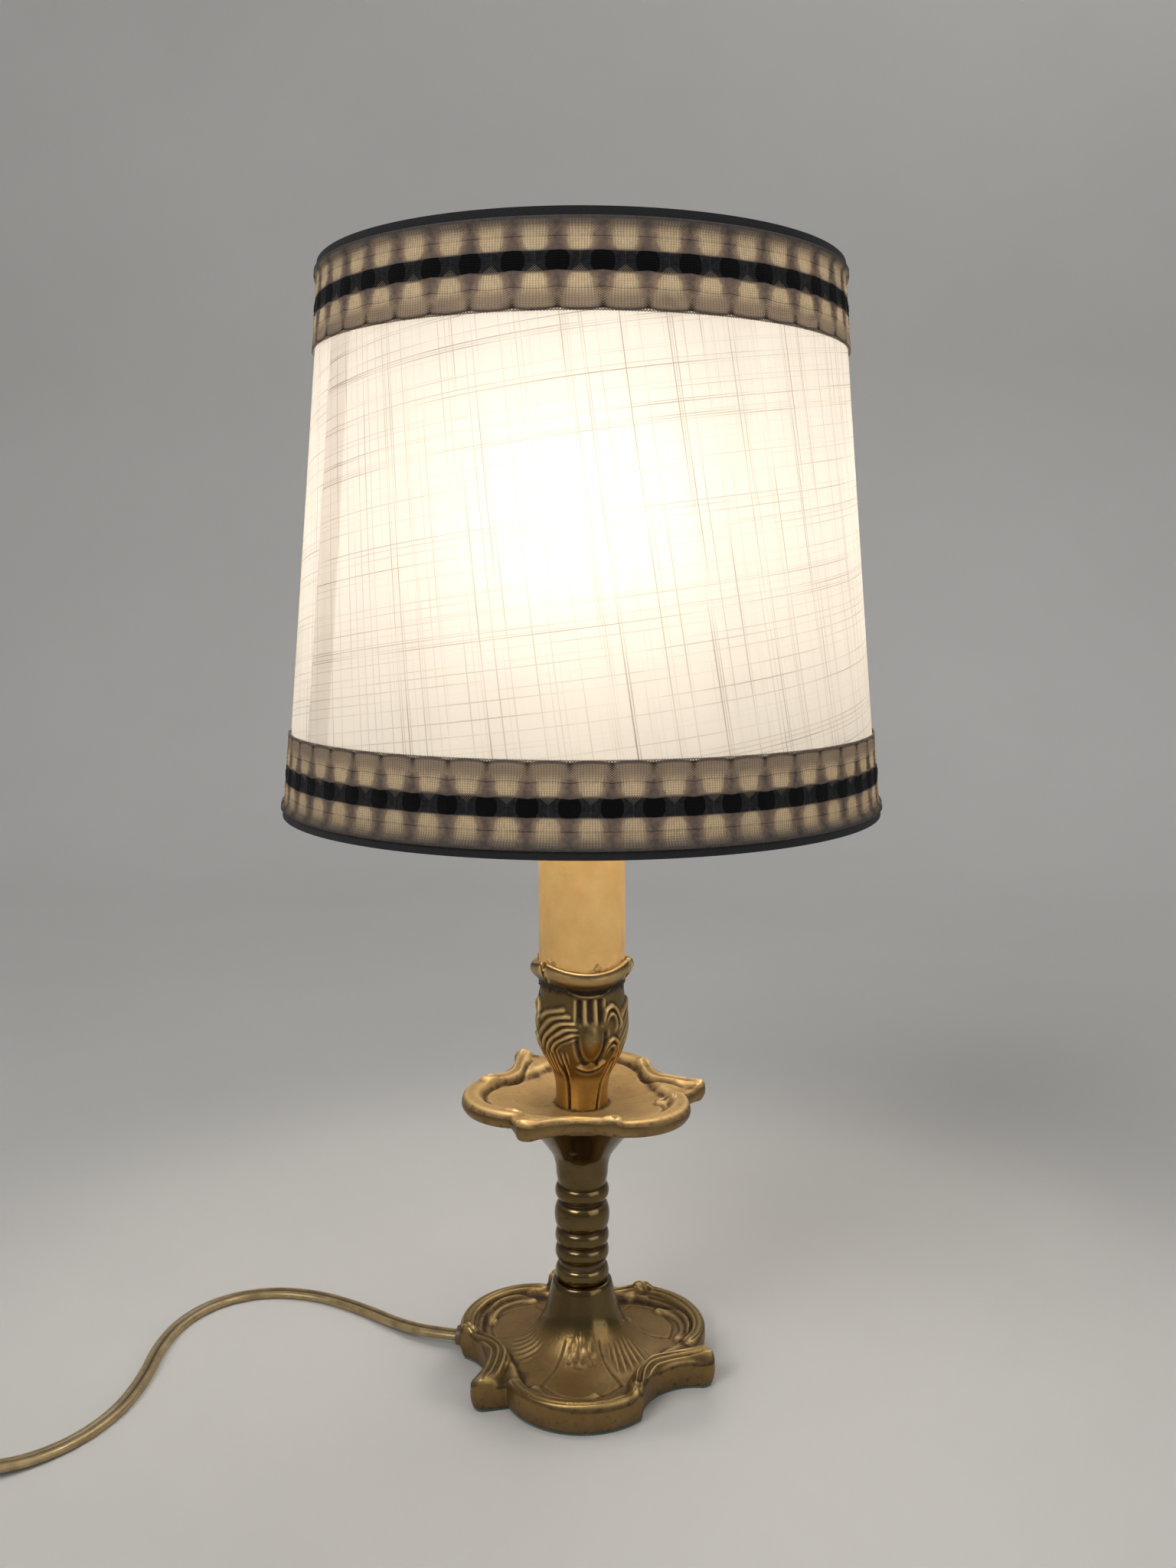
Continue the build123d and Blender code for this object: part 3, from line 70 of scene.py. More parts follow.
def spread(tree, value, low, high, new_low=0.0, new_high=1.0):
    """A value moved from one range to another and held at its ends."""
    ends = {"Value": value, "From Min": low, "From Max": high, "To Min": new_low, "To Max": new_high}
    return put(tree, "ShaderNodeMapRange", ends).outputs["Result"]


def tint(tree, share, first, second):
    """A colour between two colours, each of them three numbers or a socket."""
    first, second = ((*end, 1) if isinstance(end, tuple) else end for end in (first, second))
    return put(tree, "ShaderNodeMix", {0: share, 6: first, 7: second}, data_type="RGBA").outputs[2]


def noise(tree, scale, detail=2.0, rough=0.5):
    """Noise in the piece's own coordinates."""
    spot = put(tree, "ShaderNodeTexCoord").outputs["Object"]
    ends = {"Vector": spot, "Scale": scale, "Detail": detail, "Roughness": rough}
    return put(tree, "ShaderNodeTexNoise", ends).outputs[0]


def new_group(name, inputs, outputs, kind="ShaderNodeTree"):
    """An empty group with its sockets: the group, what comes in, and its output node."""
    group = bpy.data.node_groups.new(name, kind)
    for side, sockets in (("INPUT", inputs), ("OUTPUT", outputs)):
        for label, sort in sockets.items():
            group.interface.new_socket(name=label, in_out=side, socket_type="NodeSocket" + sort)
    return group, group.nodes.new("NodeGroupInput").outputs, group.nodes.new("NodeGroupOutput")


def new_finish(name, **plain):
    """A material with one Principled shader whose plain sockets are set."""
    finish = bpy.data.materials.new(name)
    finish.use_nodes = True
    shader = finish.node_tree.nodes["Principled BSDF"]
    feed(shader, {label.replace("_", " "): value for label, value in plain.items()})
    return finish, finish.node_tree, shader


grain, grain_in, grain_out = new_group(
    "fine_grain", {"Scale": "Float", "Depth": "Float"}, {"Mask": "Float", "Normal": "Vector"})
grain_mask = noise(grain, grain_in["Scale"], 5.0, 0.6)
grain_bump = put(grain, "ShaderNodeBump", {"Height": grain_mask, "Distance": grain_in["Depth"]})
feed(grain_out, {"Mask": grain_mask, "Normal": grain_bump.outputs[0]})


def grained(name, dark, light, rough, scale, depth, **plain):
    """A finish whose colour and gloss vary with a fine grain."""
    finish, tree, shader = new_finish(name, **plain)
    made = put(tree, "ShaderNodeGroup", {"Scale": scale, "Depth": depth}, node_tree=grain).outputs
    feed(shader, {"Base Color": tint(tree, spread(tree, made["Mask"], 0.3, 0.7), dark, light),
                  "Roughness": spread(tree, made["Mask"], 0.3, 0.7, *rough),
                  "Normal": made["Normal"]})
    return finish


def dress(finish, *names):
    """Gives CAD nodes a finish."""
    for name in names:
        nodes[name].data.materials.clear()
        nodes[name].data.materials.append(finish)


felt = grained("green_baize", (0.02, 0.05, 0.03), (0.06, 0.12, 0.07), (0.95, 1.0), 2500, 0.0004,
               Sheen_Weight=0.6)
dress(felt, "foot_felt")

# Foot
# A heavy brass casting, cleaned up by hand: a dished floor with a chased panel, a trumpet in the
# middle, and a rim of three scrolled lobes between three fluted bands that end in a curled tip.
MM = 0.001
THIRD = 120


def reach(node):
    """A CAD node's lowest and highest place, in millimetres."""
    return [corner.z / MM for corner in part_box(node)]


foot_base_z, foot_top_z = reach("foot_casting")
foot_rim_rise = 2.3
foot_edge_r = 1.1
foot_lobe = ((-9, 36.6), (28, 42.8), (58, 39.5))
foot_notch = ((58, 39.5), (79, 32.7), (97, 42.4))
foot_tip = ((97, 42.4), (101, 44.2), (105, 42.4))
dish_lobe = ((-5, 31.5), (25, 36.0), (55, 31.5))
dish_notch = ((55, 31.5), (82, 25.5), (115, 31.5))
trumpet = ((8.6, foot_top_z + 0.2), (9.6, foot_top_z - 0.6), (10.3, 25.4), (11.5, 20.4),
           (13.3, 15.9), (16.2, 11.4), (20.2, 8.4), (24.5, 7.0), (29.0, 6.5), (46.0, 6.4))
foot_band = ((58.5, 38.6), (63, 34.4), (70, 30.4), (78, 28.7), (86, 29.6), (94, 32.6), (100, 36.6),
             (104, 40.8))
foot_band_half, foot_flute = 4.4, 2.3
foot_roll = ((-6, 34.9), (2, 37.6), (14, 39.7), (28, 40.4), (42, 39.7), (52, 38.0), (57, 36.4))
foot_curl = ((3, 31.6), (10, 34.1), (20, 35.4), (30, 34.7), (37, 32.5))
foot_chasing = (
    (0.75, 0.8, ((3, 35.0), (14, 37.2), (26, 37.8), (38, 36.6), (49, 34.6))),
    (0.50, 0.55, ((8, 14.5), (6.5, 20.0), (5, 24.0), (4.5, 28.6))),
    (0.50, 0.55, ((52, 14.5), (53.5, 20.0), (55, 24.0), (55.5, 28.6))),
    (0.50, 0.60, ((4.5, 28.6), (12, 30.2), (19, 31.8), (30, 32.4), (42, 31.6), (49, 30.2),
                  (55.5, 28.6))))
dent_count = 70
dent_ranges = {"deg": (15, 45), "r": (13.2, 19.5), "half": (0.6, 1.3), "rise": (-0.4, 0.35)}


def smooth_through(knots, at):
    """Values of a smooth curve through (place, value) knots."""
    place, value = np.array(knots, float).T
    slope = np.gradient(value, place)
    k = np.clip(np.searchsorted(place, at, side="right") - 1, 0, len(place) - 2)
    step = place[k + 1] - place[k]
    t = (at - place[k]) / step
    start = (1 + 2 * t) * (1 - t) ** 2 * value[k] + t * (1 - t) ** 2 * step * slope[k]
    return start + t * t * (3 - 2 * t) * value[k + 1] + t * t * (t - 1) * step * slope[k + 1]


def turns(count):
    """Equal steps round a full turn, in degrees."""
    return np.arange(count) * 360 / count


def around(deg, r):
    """Points on a circle or on circles."""
    return np.stack([r * np.cos(np.radians(deg)), r * np.sin(np.radians(deg))], -1)


def turned(deg, r, z):
    """Points at angles, radii and heights."""
    return np.concatenate([around(deg, r), np.broadcast_to(z, r.shape)[..., None]], -1)


def arc_through(knots, count=40):
    """Points along the circle's arc through three (angle, radius) places."""
    a, b, c = (around(*knot) for knot in knots)
    rows = 2 * np.array([b - a, c - a])
    centre = np.linalg.solve(rows, [b @ b - a @ a, c @ c - a @ a])
    turn = np.unwrap([math.atan2(*(p - centre)[::-1]) for p in (a, b, c)])
    swing = np.interp(np.linspace(0, 2, count), (0, 1, 2), turn)
    return centre + around(np.degrees(swing), np.linalg.norm(a - centre))


def edge_radius(deg, *arcs):
    """Radius, at each angle, of an outline of arcs that repeats three times round."""
    points = np.concatenate([arc_through(arc) for arc in arcs])
    turn = np.degrees(np.arctan2(points[:, 1], points[:, 0])) % 360
    turn = np.where(turn > 300, turn - 360, turn)
    order = np.argsort(turn)
    turn, radius = turn[order], np.hypot(*points.T)[order]
    turn = np.concatenate([turn - THIRD, turn, turn + THIRD])
    order = np.argsort(turn, kind="stable")
    return np.interp(deg % THIRD, turn[order], np.tile(radius, 3)[order])


def ramp(value, low, high):
    """A smooth step from 0 to 1 between two values."""
    t = np.clip((value - low) / (high - low), 0, 1)
    return t * t * (3 - 2 * t)


def within(value, low, low_full, high_full, high):
    """1 in the middle of a range, and falling smoothly to 0 at both its ends."""
    return ramp(value, low, low_full) * (1 - ramp(value, high_full, high))


def trace(knots, count=48):
    """Points along a smooth line through (angle, radius) knots."""
    step = np.arange(len(knots))
    at = np.linspace(0, len(knots) - 1, count)
    deg, r = (smooth_through(list(zip(step, values)), at) for values in zip(*knots))
    return around(deg, r)


def nearest(spots, knots):
    """Distance from each spot to a line through knots, and its share of the line's length."""
    line = trace(knots)
    far = np.hypot(spots[..., 0, None] - line[:, 0], spots[..., 1, None] - line[:, 1])
    return far.min(-1), far.argmin(-1) / (len(line) - 1)


def hump(far, half):
    """Half-round section of a moulding."""
    return np.sqrt(np.clip(1 - (far / half) ** 2, 0, 1))


def swell(far, half):
    """Soft section of a moulding or a groove."""
    return np.clip(1 - (far / half) ** 2, 0, 1) ** 2


def folded(deg, start):
    """Angles brought into one third of the turn."""
    return (deg - start) % THIRD + start


def rounded_off(r, edge, radius, limit):
    """How far a casting's face drops towards its rounded edge."""
    over = np.clip((r - edge) / radius + 1, 0, 1)
    return radius * (1 - np.sqrt(1 - np.minimum(over, limit) ** 2))


def side_wall(edge, top, low, fall, belly, tuck):
    """Radii and heights of a casting's side, from its rounded edge down."""
    return edge + belly * np.sin(np.pi * fall) - tuck * fall ** 3, top + (low - top) * fall


def soften(height, passes):
    """A grid of heights with its fine relief worn off."""
    for _ in range(passes):
        height = (np.roll(height, 1, 1) + height + np.roll(height, -1, 1)) / 3
        height = (np.concatenate([height[:1], height[:-1]]) + height
                  + np.concatenate([height[1:], height[-1:]])) / 3
    return height


def wear(height, passes=14, scale=0.35):
    """Marks of how far each point stands out of the relief around it, or lies back in it."""
    proud = (height - soften(height, passes)) / scale
    return {"crest": soften(np.clip(proud, 0, 1), 2), "cavity": soften(np.clip(-proud, 0, 1), 2)}


def add_dirt_and_shade(marks, more):
    """Adds to a casting's cavity mark: dirt in the stem's pit, and painted shade everywhere else it is
    called.
    """
    marks["cavity"] = np.clip(marks["cavity"] + more, 0, 1)


def carried_on(marks, *walls):
    """Marks carried on over more rows, each with its shape and its crest, cavity and satin."""
    for shape, *values in walls:
        marks = {name: np.concatenate([mark, np.broadcast_to(value, shape)])
                 for (name, mark), value in zip(marks.items(), values)}
    return marks


def shown(name, data):
    """A new object in the scene."""
    piece = bpy.data.objects.new(name, data)
    bpy.context.scene.collection.objects.link(piece)
    return piece


def skin(name, rings, finish, marks=None, poles=True, uv=None):
    """A closed mesh over rings of points in millimetres, ended by poles or joined in a loop."""
    rows, count = rings.shape[:2]
    points = rings.reshape(-1, 3)
    here = np.arange(count)
    after = np.roll(here, -1)
    pairs = [(k, k + 1) for k in range(rows - 1)] + ([] if poles else [(rows - 1, 0)])
    faces = []
    for a, b in np.array(pairs) * count:
        faces += np.stack([a + here, b + here, b + after, a + after], 1).tolist()
    if poles:
        points = np.concatenate([points, rings[:1].mean(1), rings[-1:].mean(1)])
        first, last, base = rows * count, rows * count + 1, (rows - 1) * count
        faces += [(first, h, a) for h, a in zip(here.tolist(), after.tolist())]
        faces += [(last, base + a, base + h) for h, a in zip(here.tolist(), after.tolist())]
    mesh = bpy.data.meshes.new(name)
    mesh.from_pydata((points * MM).tolist(), [], faces)
    mesh.shade_smooth()
    mesh.materials.append(finish)
    for label, values in (marks or {}).items():
        flat = np.zeros(len(points), np.float32)
        flat[:values.size] = values.ravel()
        mesh.attributes.new(label, "FLOAT", "POINT").data.foreach_set("value", flat)
    if uv is not None:
        layer = [(step / count, up) for a, b in pairs for k in range(count)
                 for step, up in ((k, uv[a]), (k, uv[b]), (k + 1, uv[b]), (k + 1, uv[a]))]
        flat = np.array(layer, np.float32).ravel()
        mesh.uv_layers.new(name="UVMap").data.foreach_set("uv", flat)
    return shown(name, mesh)


def place(piece, body, slot, *replaced):
    """Sets a piece on its body and hides the CAD nodes that it stands for. The slot is not used."""
    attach(piece, body)
    if replaced:
        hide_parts(*replaced)
    return piece


def sums(tree, how, first, second=0.0):
    """One sum of one or two values."""
    return put(tree, "ShaderNodeMath", {0: first, 1: second}, operation=how).outputs[0]


def bench(tree):
    """A tree's own makers of ranges, colours, products and totals."""
    return (partial(spread, tree), partial(tint, tree), partial(sums, tree, "MULTIPLY"),
            partial(sums, tree, "ADD"))


bare_brass = (0.15, 0.105, 0.045)
aging, aging_in, aging_out = new_group(
    "aged_brass", {"Cavity": "Float", "Crest": "Float", "Body": "Color", "Polish": "Color",
                   "Patina": "Color", "Specks": "Float", "Gloss": "Float", "Satin": "Float"},
    {"Color": "Color", "Roughness": "Float", "Metal": "Float", "Normal": "Vector"})
ranged, mixed, times, plus = bench(aging)
brown, satin = aging_in["Patina"], aging_in["Satin"]
mottle, fleck = noise(aging, 85.0, 5.0), noise(aging, 620.0, 4.0)
aging_place = put(aging, "ShaderNodeTexCoord").outputs["Object"]
pores = put(aging, "ShaderNodeTexVoronoi", {"Vector": aging_place, "Scale": 900.0}).outputs["Distance"]
# The cavity mark browns the brass: dirt in its hollows, and painted shade where the castings add it.
dirt_and_shade = times(aging_in["Cavity"], ranged(fleck, 0.25, 0.7, 0.7, 1.25))
stain = times(ranged(fleck, 0.58, 0.72), aging_in["Specks"])
soil_and_shade = put(aging, "ShaderNodeClamp", {"Value": plus(dirt_and_shade, stain)}).outputs[0]
ground = mixed(ranged(satin, 0.0, 0.5), bare_brass, aging_in["Body"])
wear_and_reflection = mixed(ranged(mottle, 0.35, 0.68, 0.0, 0.55), ground, mixed(0.45, ground, brown))
# The crest mark brings the polish colour: rubbed high points, and a painted reflection on the cup's
# neck.
wear_and_reflection = mixed(ranged(aging_in["Crest"], 0.1, 0.9, 0.0, 0.85), wear_and_reflection, aging_in["Polish"])
matt = plus(ranged(mottle, 0.3, 0.7, 0.0, 0.12), ranged(soil_and_shade, 0.0, 1.0, 0.0, 0.3))
matt = plus(matt, ranged(satin, 0.0, 1.0, 0.0, 0.24))
metal = sums(aging, "SUBTRACT", ranged(soil_and_shade, 0.0, 1.0, 1.0, 0.5), ranged(satin, 0.3, 1.0, 0.0, 0.4))
cast = times(plus(fleck, times(pores, 0.4)), ranged(satin, 0.0, 0.5, 0.12, 1.0))
cast_bump = put(aging, "ShaderNodeBump", {"Height": cast, "Distance": 0.00016, "Strength": 0.55})
feed(aging_out, {"Color": mixed(soil_and_shade, wear_and_reflection, brown), "Roughness": plus(aging_in["Gloss"], matt),
                 "Metal": metal, "Normal": cast_bump.outputs[0]})


def aged_brass(name, body, polish, patina, specks, gloss):
    """Cast brass: polished where it stands out, brown where dirt has settled. Its crest and cavity marks
    also carry painted reflection and painted shade where the castings add them.
    """
    finish, tree, shader = new_finish(name)
    looks = {"Body": (*body, 1), "Polish": (*polish, 1), "Patina": (*patina, 1),
             "Specks": specks, "Gloss": gloss}
    for label in ("Cavity", "Crest", "Satin"):
        looks[label] = put(tree, "ShaderNodeAttribute", attribute_name=label.lower()).outputs["Fac"]
    made = put(tree, "ShaderNodeGroup", looks, node_tree=aging).outputs
    feed(shader, {"Base Color": made["Color"], "Roughness": made["Roughness"],
                  "Metallic": made["Metal"], "Normal": made["Normal"]})
    return finish


foot_brass = aged_brass("foot_brass", (0.31, 0.19, 0.066), (0.76, 0.53, 0.22),
                        (0.055, 0.029, 0.011), 0.3, 0.15)
foot_deg = turns(540)
foot_bore_r = trumpet[0][0]
foot_edge = edge_radius(foot_deg, foot_lobe, foot_notch, foot_tip)
foot_r = foot_bore_r + (foot_edge - foot_bore_r) * np.linspace(0, 1, 132)[:, None] ** 0.85
foot_fold = folded(foot_deg, -12)
foot_spots = around(foot_fold, foot_r)
foot_from_dish = foot_r - edge_radius(foot_deg, dish_lobe, dish_notch)
foot_z = smooth_through(trumpet, foot_r) + foot_rim_rise * ramp(foot_from_dish, -0.8, 1.6)
band_far, band_along = nearest(foot_spots, foot_band)
foot_z += 1.5 * np.clip(1 - (band_far / foot_band_half) ** 4, 0, 1)
foot_z += 0.42 * np.cos(band_far * 2 * np.pi / foot_flute) * swell(band_far, 4.8)
foot_z += 0.9 * ramp(band_along, 0.8, 1.0) * swell(band_far, 4.6)
roll_far, roll_along = nearest(foot_spots, foot_roll)
foot_z += 1.5 * hump(roll_far, 2.4) - 0.3 * swell(roll_far - 1.1, 0.45)
roll_end = ramp(roll_along, 0.74, 0.86) * swell(roll_far, 2.6)
foot_z += 0.3 * np.cos(roll_along * 60 + roll_far * 1.6) * roll_end
curl_far = nearest(foot_spots, foot_curl)[0]
foot_z += 1.25 * hump(curl_far, 1.75) - 0.25 * swell(curl_far, 0.35)
for depth, half, line in foot_chasing:
    foot_z -= depth * swell(nearest(foot_spots, line)[0], half)
dent_seed = np.random.default_rng(7)
dents = [dent_seed.uniform(*ends, dent_count) for ends in dent_ranges.values()]
for dent_deg, dent_r, dent_half, dent_rise in zip(*dents):
    dent_far = np.linalg.norm(foot_spots - around(dent_deg, dent_r), axis=-1)
    foot_z += dent_rise * swell(dent_far, dent_half)
fan = np.cos(2 * np.pi * (foot_fold + 1.3 * (foot_r - 15)) / 7.0)
foot_z += 0.30 * fan * within(foot_fold, 58, 63, 92, 104) * within(foot_r, 14.5, 17.0, 21.0, 25.0)
foot_z -= rounded_off(foot_r, foot_edge, foot_edge_r, 0.98)
foot_marks = wear(foot_z - smooth_through(trumpet, foot_r))
foot_marks["crest"] *= ramp(foot_r, 12.0, 15.0)
foot_marks["satin"] = ramp(foot_r, 11.5, 16.5) * (0.95 - 0.55 * ramp(foot_from_dish, -1.0, 1.5))
# Painted shade: the floor darkens along the foot of the rim, round the dish's edge.
add_dirt_and_shade(foot_marks, 0.45 * swell(foot_from_dish, 2.2))
foot_fall = np.linspace(0.08, 1, 10)[:, None]
foot_wall_r, foot_wall_z = side_wall(foot_edge, foot_z[-1], foot_base_z, foot_fall, 0.25, 0.6)
foot_rings = turned(foot_deg, np.concatenate([foot_r, foot_wall_r]),
                    np.concatenate([foot_z, foot_wall_z]))
# The side wall gets darker towards the table.
foot_marks = carried_on(
    foot_marks, (foot_wall_r.shape, 0.0, 0.1 + 0.5 * foot_fall, 0.4 + 0.3 * foot_fall))
place(skin("foot", foot_rings, foot_brass, foot_marks), "lamp", "brass", "foot_casting")

# Column hardware
# A hollow threaded tube runs the whole way up. Plated washers and nuts in the foot and in the
# cup clamp the castings on it.
plated = grained("zinc_plate", (0.42, 0.41, 0.38), (0.66, 0.65, 0.61), (0.28, 0.5), 700, 0.00005,
                 Metallic=1.0)
dress(plated, "threaded_tube", "foot_washer", "foot_nut", "cup_washer", "cup_nut")

# Stem
# A turned brass casting with rings, beads and grooves. It flares into a bell under the pan, and
# has a small casting pit at its front left.
stem_low, stem_high = reach("stem_casting")
stem_beads = ((29.0, 34.25, 7.3, 8.65), (36.15, 41.4, 6.9, 8.65), (41.4, 46.65, 7.1, 8.65),
              (46.65, 55.45, 6.9, 8.85), (56.45, 61.7, 6.7, 8.65))
stem_shaft = ((29.0, 7.7), (34.25, 7.35), (36.15, 7.25), (41.4, 7.75), (46.65, 7.7), (55.45, 6.85),
              (56.45, 6.8), (61.7, 7.7))
stem_bell = ((61.7, 7.7), (64.4, 8.2), (68.0, 8.5), (71.5, 9.5), (74.6, 11.6), (78.0, 14.3),
             (81.5, 17.2), (stem_high, 20.0))
stem_z = np.linspace(stem_low, stem_high, 300)
bell_z = stem_bell[0][0]
stem_r = np.where(stem_z > bell_z, smooth_through(stem_bell, np.maximum(stem_z, bell_z)),
                  np.interp(stem_z, *zip(*stem_shaft)))
for low, high, neck, full in stem_beads:
    bead_far, bead_half = np.abs(stem_z - (low + high) / 2), (high - low) / 2
    bead_r = neck + (full - neck) * hump(bead_far, bead_half) ** 0.8
    stem_r = np.where(bead_far < bead_half, bead_r, stem_r)
stem_deg = turns(128)
stem_grid = np.tile(stem_r[:, None], len(stem_deg))
stem_marks = wear(stem_grid, 10, 0.22)
pit = np.hypot((folded(stem_deg, 200) - 256) * 0.17, (stem_z - 76.0)[:, None])
stem_grid -= 0.8 * swell(pit, 1.1)
add_dirt_and_shade(stem_marks, 1.2 * swell(pit, 1.2))
# The stem's brass is darker than the other castings': painted shade from the pan and the lampshade above
# it.
shaded_stem_brass = aged_brass("shaded_stem_brass", (0.19, 0.125, 0.048), (0.42, 0.29, 0.115),
                        (0.03, 0.018, 0.009), 0.12, 0.12)
stem_rings = turned(stem_deg, stem_grid, stem_z[:, None])
stem_marks = {name: mark[::-1] for name, mark in stem_marks.items()}
place(skin("stem", stem_rings[::-1], shaded_stem_brass, stem_marks), "lamp", "brass", "stem_casting")

# Drip pan
# A shallow brass casting with a scrolled rim that swings the other way round from the foot's:
# three lobes that end in a curl with a dark pit, and three fluted bands that run out to a tip.
pan_low, pan_rim_z = reach("drip_pan")
pan_under_z = pan_rim_z - 4.9
pan_bore_r = 4.0
pan_edge_r = 1.2
pan_tip = ((-2, 36.8), (3, 39.2), (8, 36.8))
pan_notch = ((8, 36.8), (28, 29.5), (46, 32.6))
pan_lobe = ((46, 32.6), (77, 38.4), (109, 32.8))
pan_dish_lobe = ((45, 26.2), (76, 31.9), (110, 26.4))
pan_dish_notch = ((-10, 26.4), (22, 23.4), (45, 26.2))
pan_floor = ((pan_bore_r, 87.8), (9.0, 88.0), (14.0, 88.5), (20.0, 89.7), (26.0, 91.0), (42.0, 91.9))
pan_band = ((2, 38.0), (8, 34.8), (16, 30.8), (24, 27.8), (33, 27.6), (40, 29.2), (46, 31.0))
pan_band_half, pan_flute = 3.9, 2.5
pan_lip = ((48, 30.6), (62, 33.8), (77, 35.0), (90, 34.0), (100, 31.8), (106, 29.6))
pan_chasing = (
    (1.05, 0.9, ((1, 31.8), (9, 29.0), (17, 26.0), (25, 23.9), (34, 23.7), (42, 25.4))),
    (0.75, 0.8, ((50, 27.2), (63, 29.9), (76, 30.9), (87, 30.0), (94, 27.6), (96, 25.2),
                 (100, 23.8), (105, 24.4))))
pan_curl_at, pan_pit_half = (103, 27.0), 1.5
pan_deg = turns(540)
pan_edge = edge_radius(pan_deg, pan_tip, pan_notch, pan_lobe)
pan_r = pan_bore_r + (pan_edge - pan_bore_r) * np.linspace(0, 1, 104)[:, None] ** 0.8
pan_spots = around(folded(pan_deg, -7), pan_r)
pan_from_dish = pan_r - edge_radius(pan_deg, pan_dish_lobe, pan_dish_notch)
pan_z = smooth_through(pan_floor, pan_r) + 1.3 * ramp(pan_from_dish, -0.9, 2.2)
band_far, band_along = nearest(pan_spots, pan_band)
pan_z += 0.9 * np.clip(1 - (band_far / pan_band_half) ** 4, 0, 1)
pan_z += 0.30 * np.cos(band_far * 2 * np.pi / pan_flute) * swell(band_far, 4.4)
pan_z += 0.9 * (1 - ramp(band_along, 0.0, 0.2)) * swell(band_far, 3.6)
pan_z += 0.75 * hump(nearest(pan_spots, pan_lip)[0], 3.3)
for depth, half, line in pan_chasing:
    pan_z -= depth * swell(nearest(pan_spots, line)[0], half)
pit_far = np.linalg.norm(pan_spots - around(*pan_curl_at), axis=-1)
pan_z += 0.75 * hump(pit_far, 2.7 * pan_pit_half) - 1.7 * swell(pit_far, pan_pit_half)
pan_z -= 0.4 * swell(pit_far - 2.0 * pan_pit_half, 0.5)
pan_z -= rounded_off(pan_r, pan_edge, pan_edge_r, 0.97)
pan_marks = wear(pan_z, 14, 0.3)
pan_marks["satin"] = np.full(pan_r.shape, 0.85)
# Painted shade: the floor darkens along the foot of the rim and round the cup's neck.
add_dirt_and_shade(pan_marks, 0.5 * swell(pan_from_dish, 1.8) + 0.9 * swell(pan_r - 8.6, 1.1))
pan_fall = np.linspace(0.1, 1, 9)[:, None]
pan_wall_r, pan_wall_z = side_wall(pan_edge, pan_z[-1], pan_under_z, pan_fall, 0.3, 0.9)
pan_back_r = pan_edge - 1.0 + (pan_bore_r - pan_edge) * np.linspace(0, 1, 14)[1:, None]
pan_back_r = np.maximum(pan_back_r, pan_bore_r)
pan_back_z = np.interp(pan_back_r, (pan_bore_r, 21.0, 27.0, 45.0),
                       (pan_low, pan_low, pan_under_z, pan_under_z + 0.4))
pan_rings = turned(pan_deg, np.concatenate([pan_r, pan_wall_r, pan_back_r]),
                   np.concatenate([pan_z, pan_wall_z, pan_back_z]))
# The wall darkens towards its bottom and the underside is dark all over: painted shade.
pan_marks = carried_on(pan_marks, (pan_wall_r.shape, 0.0, 0.55 * pan_fall, 0.5 * pan_fall),
                       (pan_back_r.shape, 0.0, 0.55, 0.5))
# The pan's brass is lighter than the other castings': partly its own colour, partly painted light from
# the bulb above it.
lit_pan_brass = aged_brass("lit_pan_brass", (0.56, 0.36, 0.14), (0.84, 0.61, 0.28),
                       (0.10, 0.05, 0.02), 0.3, 0.22)
place(skin("pan", pan_rings, lit_pan_brass, pan_marks), "lamp", "brass", "drip_pan")

# Candle cup
# A brass casting in three like panels. Each has a smooth boss under short flutes, leafy scrolls at
# its sides, a raised crescent below, and two deep grooves down the neck; the lip is rolled over.
cup_low = reach("candle_cup")[0]
cup_top_z = 135.8
cup_mean_r = 14.0
cup_lip_dip = 2.3
cup_panel_deg = 41
cup_line = ((cup_low, 8.2), (92.0, 8.3), (96.0, 8.6), (99.0, 9.5), (102.0, 10.9), (106.0, 12.6),
            (109.5, 13.6), (113.5, 14.2), (117.0, 14.15), (120.0, 13.9), (126.0, 13.2), (128.5, 13.2),
            (130.3, 13.9), (131.8, 15.1), (133.2, 16.0), (134.6, 16.25), (cup_top_z, 15.8))
cup_deg = turns(480)
cup_side = folded(cup_deg, cup_panel_deg - THIRD / 2) - cup_panel_deg
u, v = np.meshgrid(np.radians(cup_side) * cup_mean_r, np.linspace(cup_low, cup_top_z, 190))
cup_r = smooth_through(cup_line, v)


def oval(mid_u, mid_v, half_u, half_v):
    """How far out each point of the panel lies from an oval's middle: 1 on its edge."""
    return np.hypot((u - mid_u) / half_u, (v - mid_v) / half_v)


def ridges(place, pitch):
    """Round ridges side by side, with sharp furrows between them."""
    return np.abs(np.cos(np.pi * place / pitch)) ** 0.7


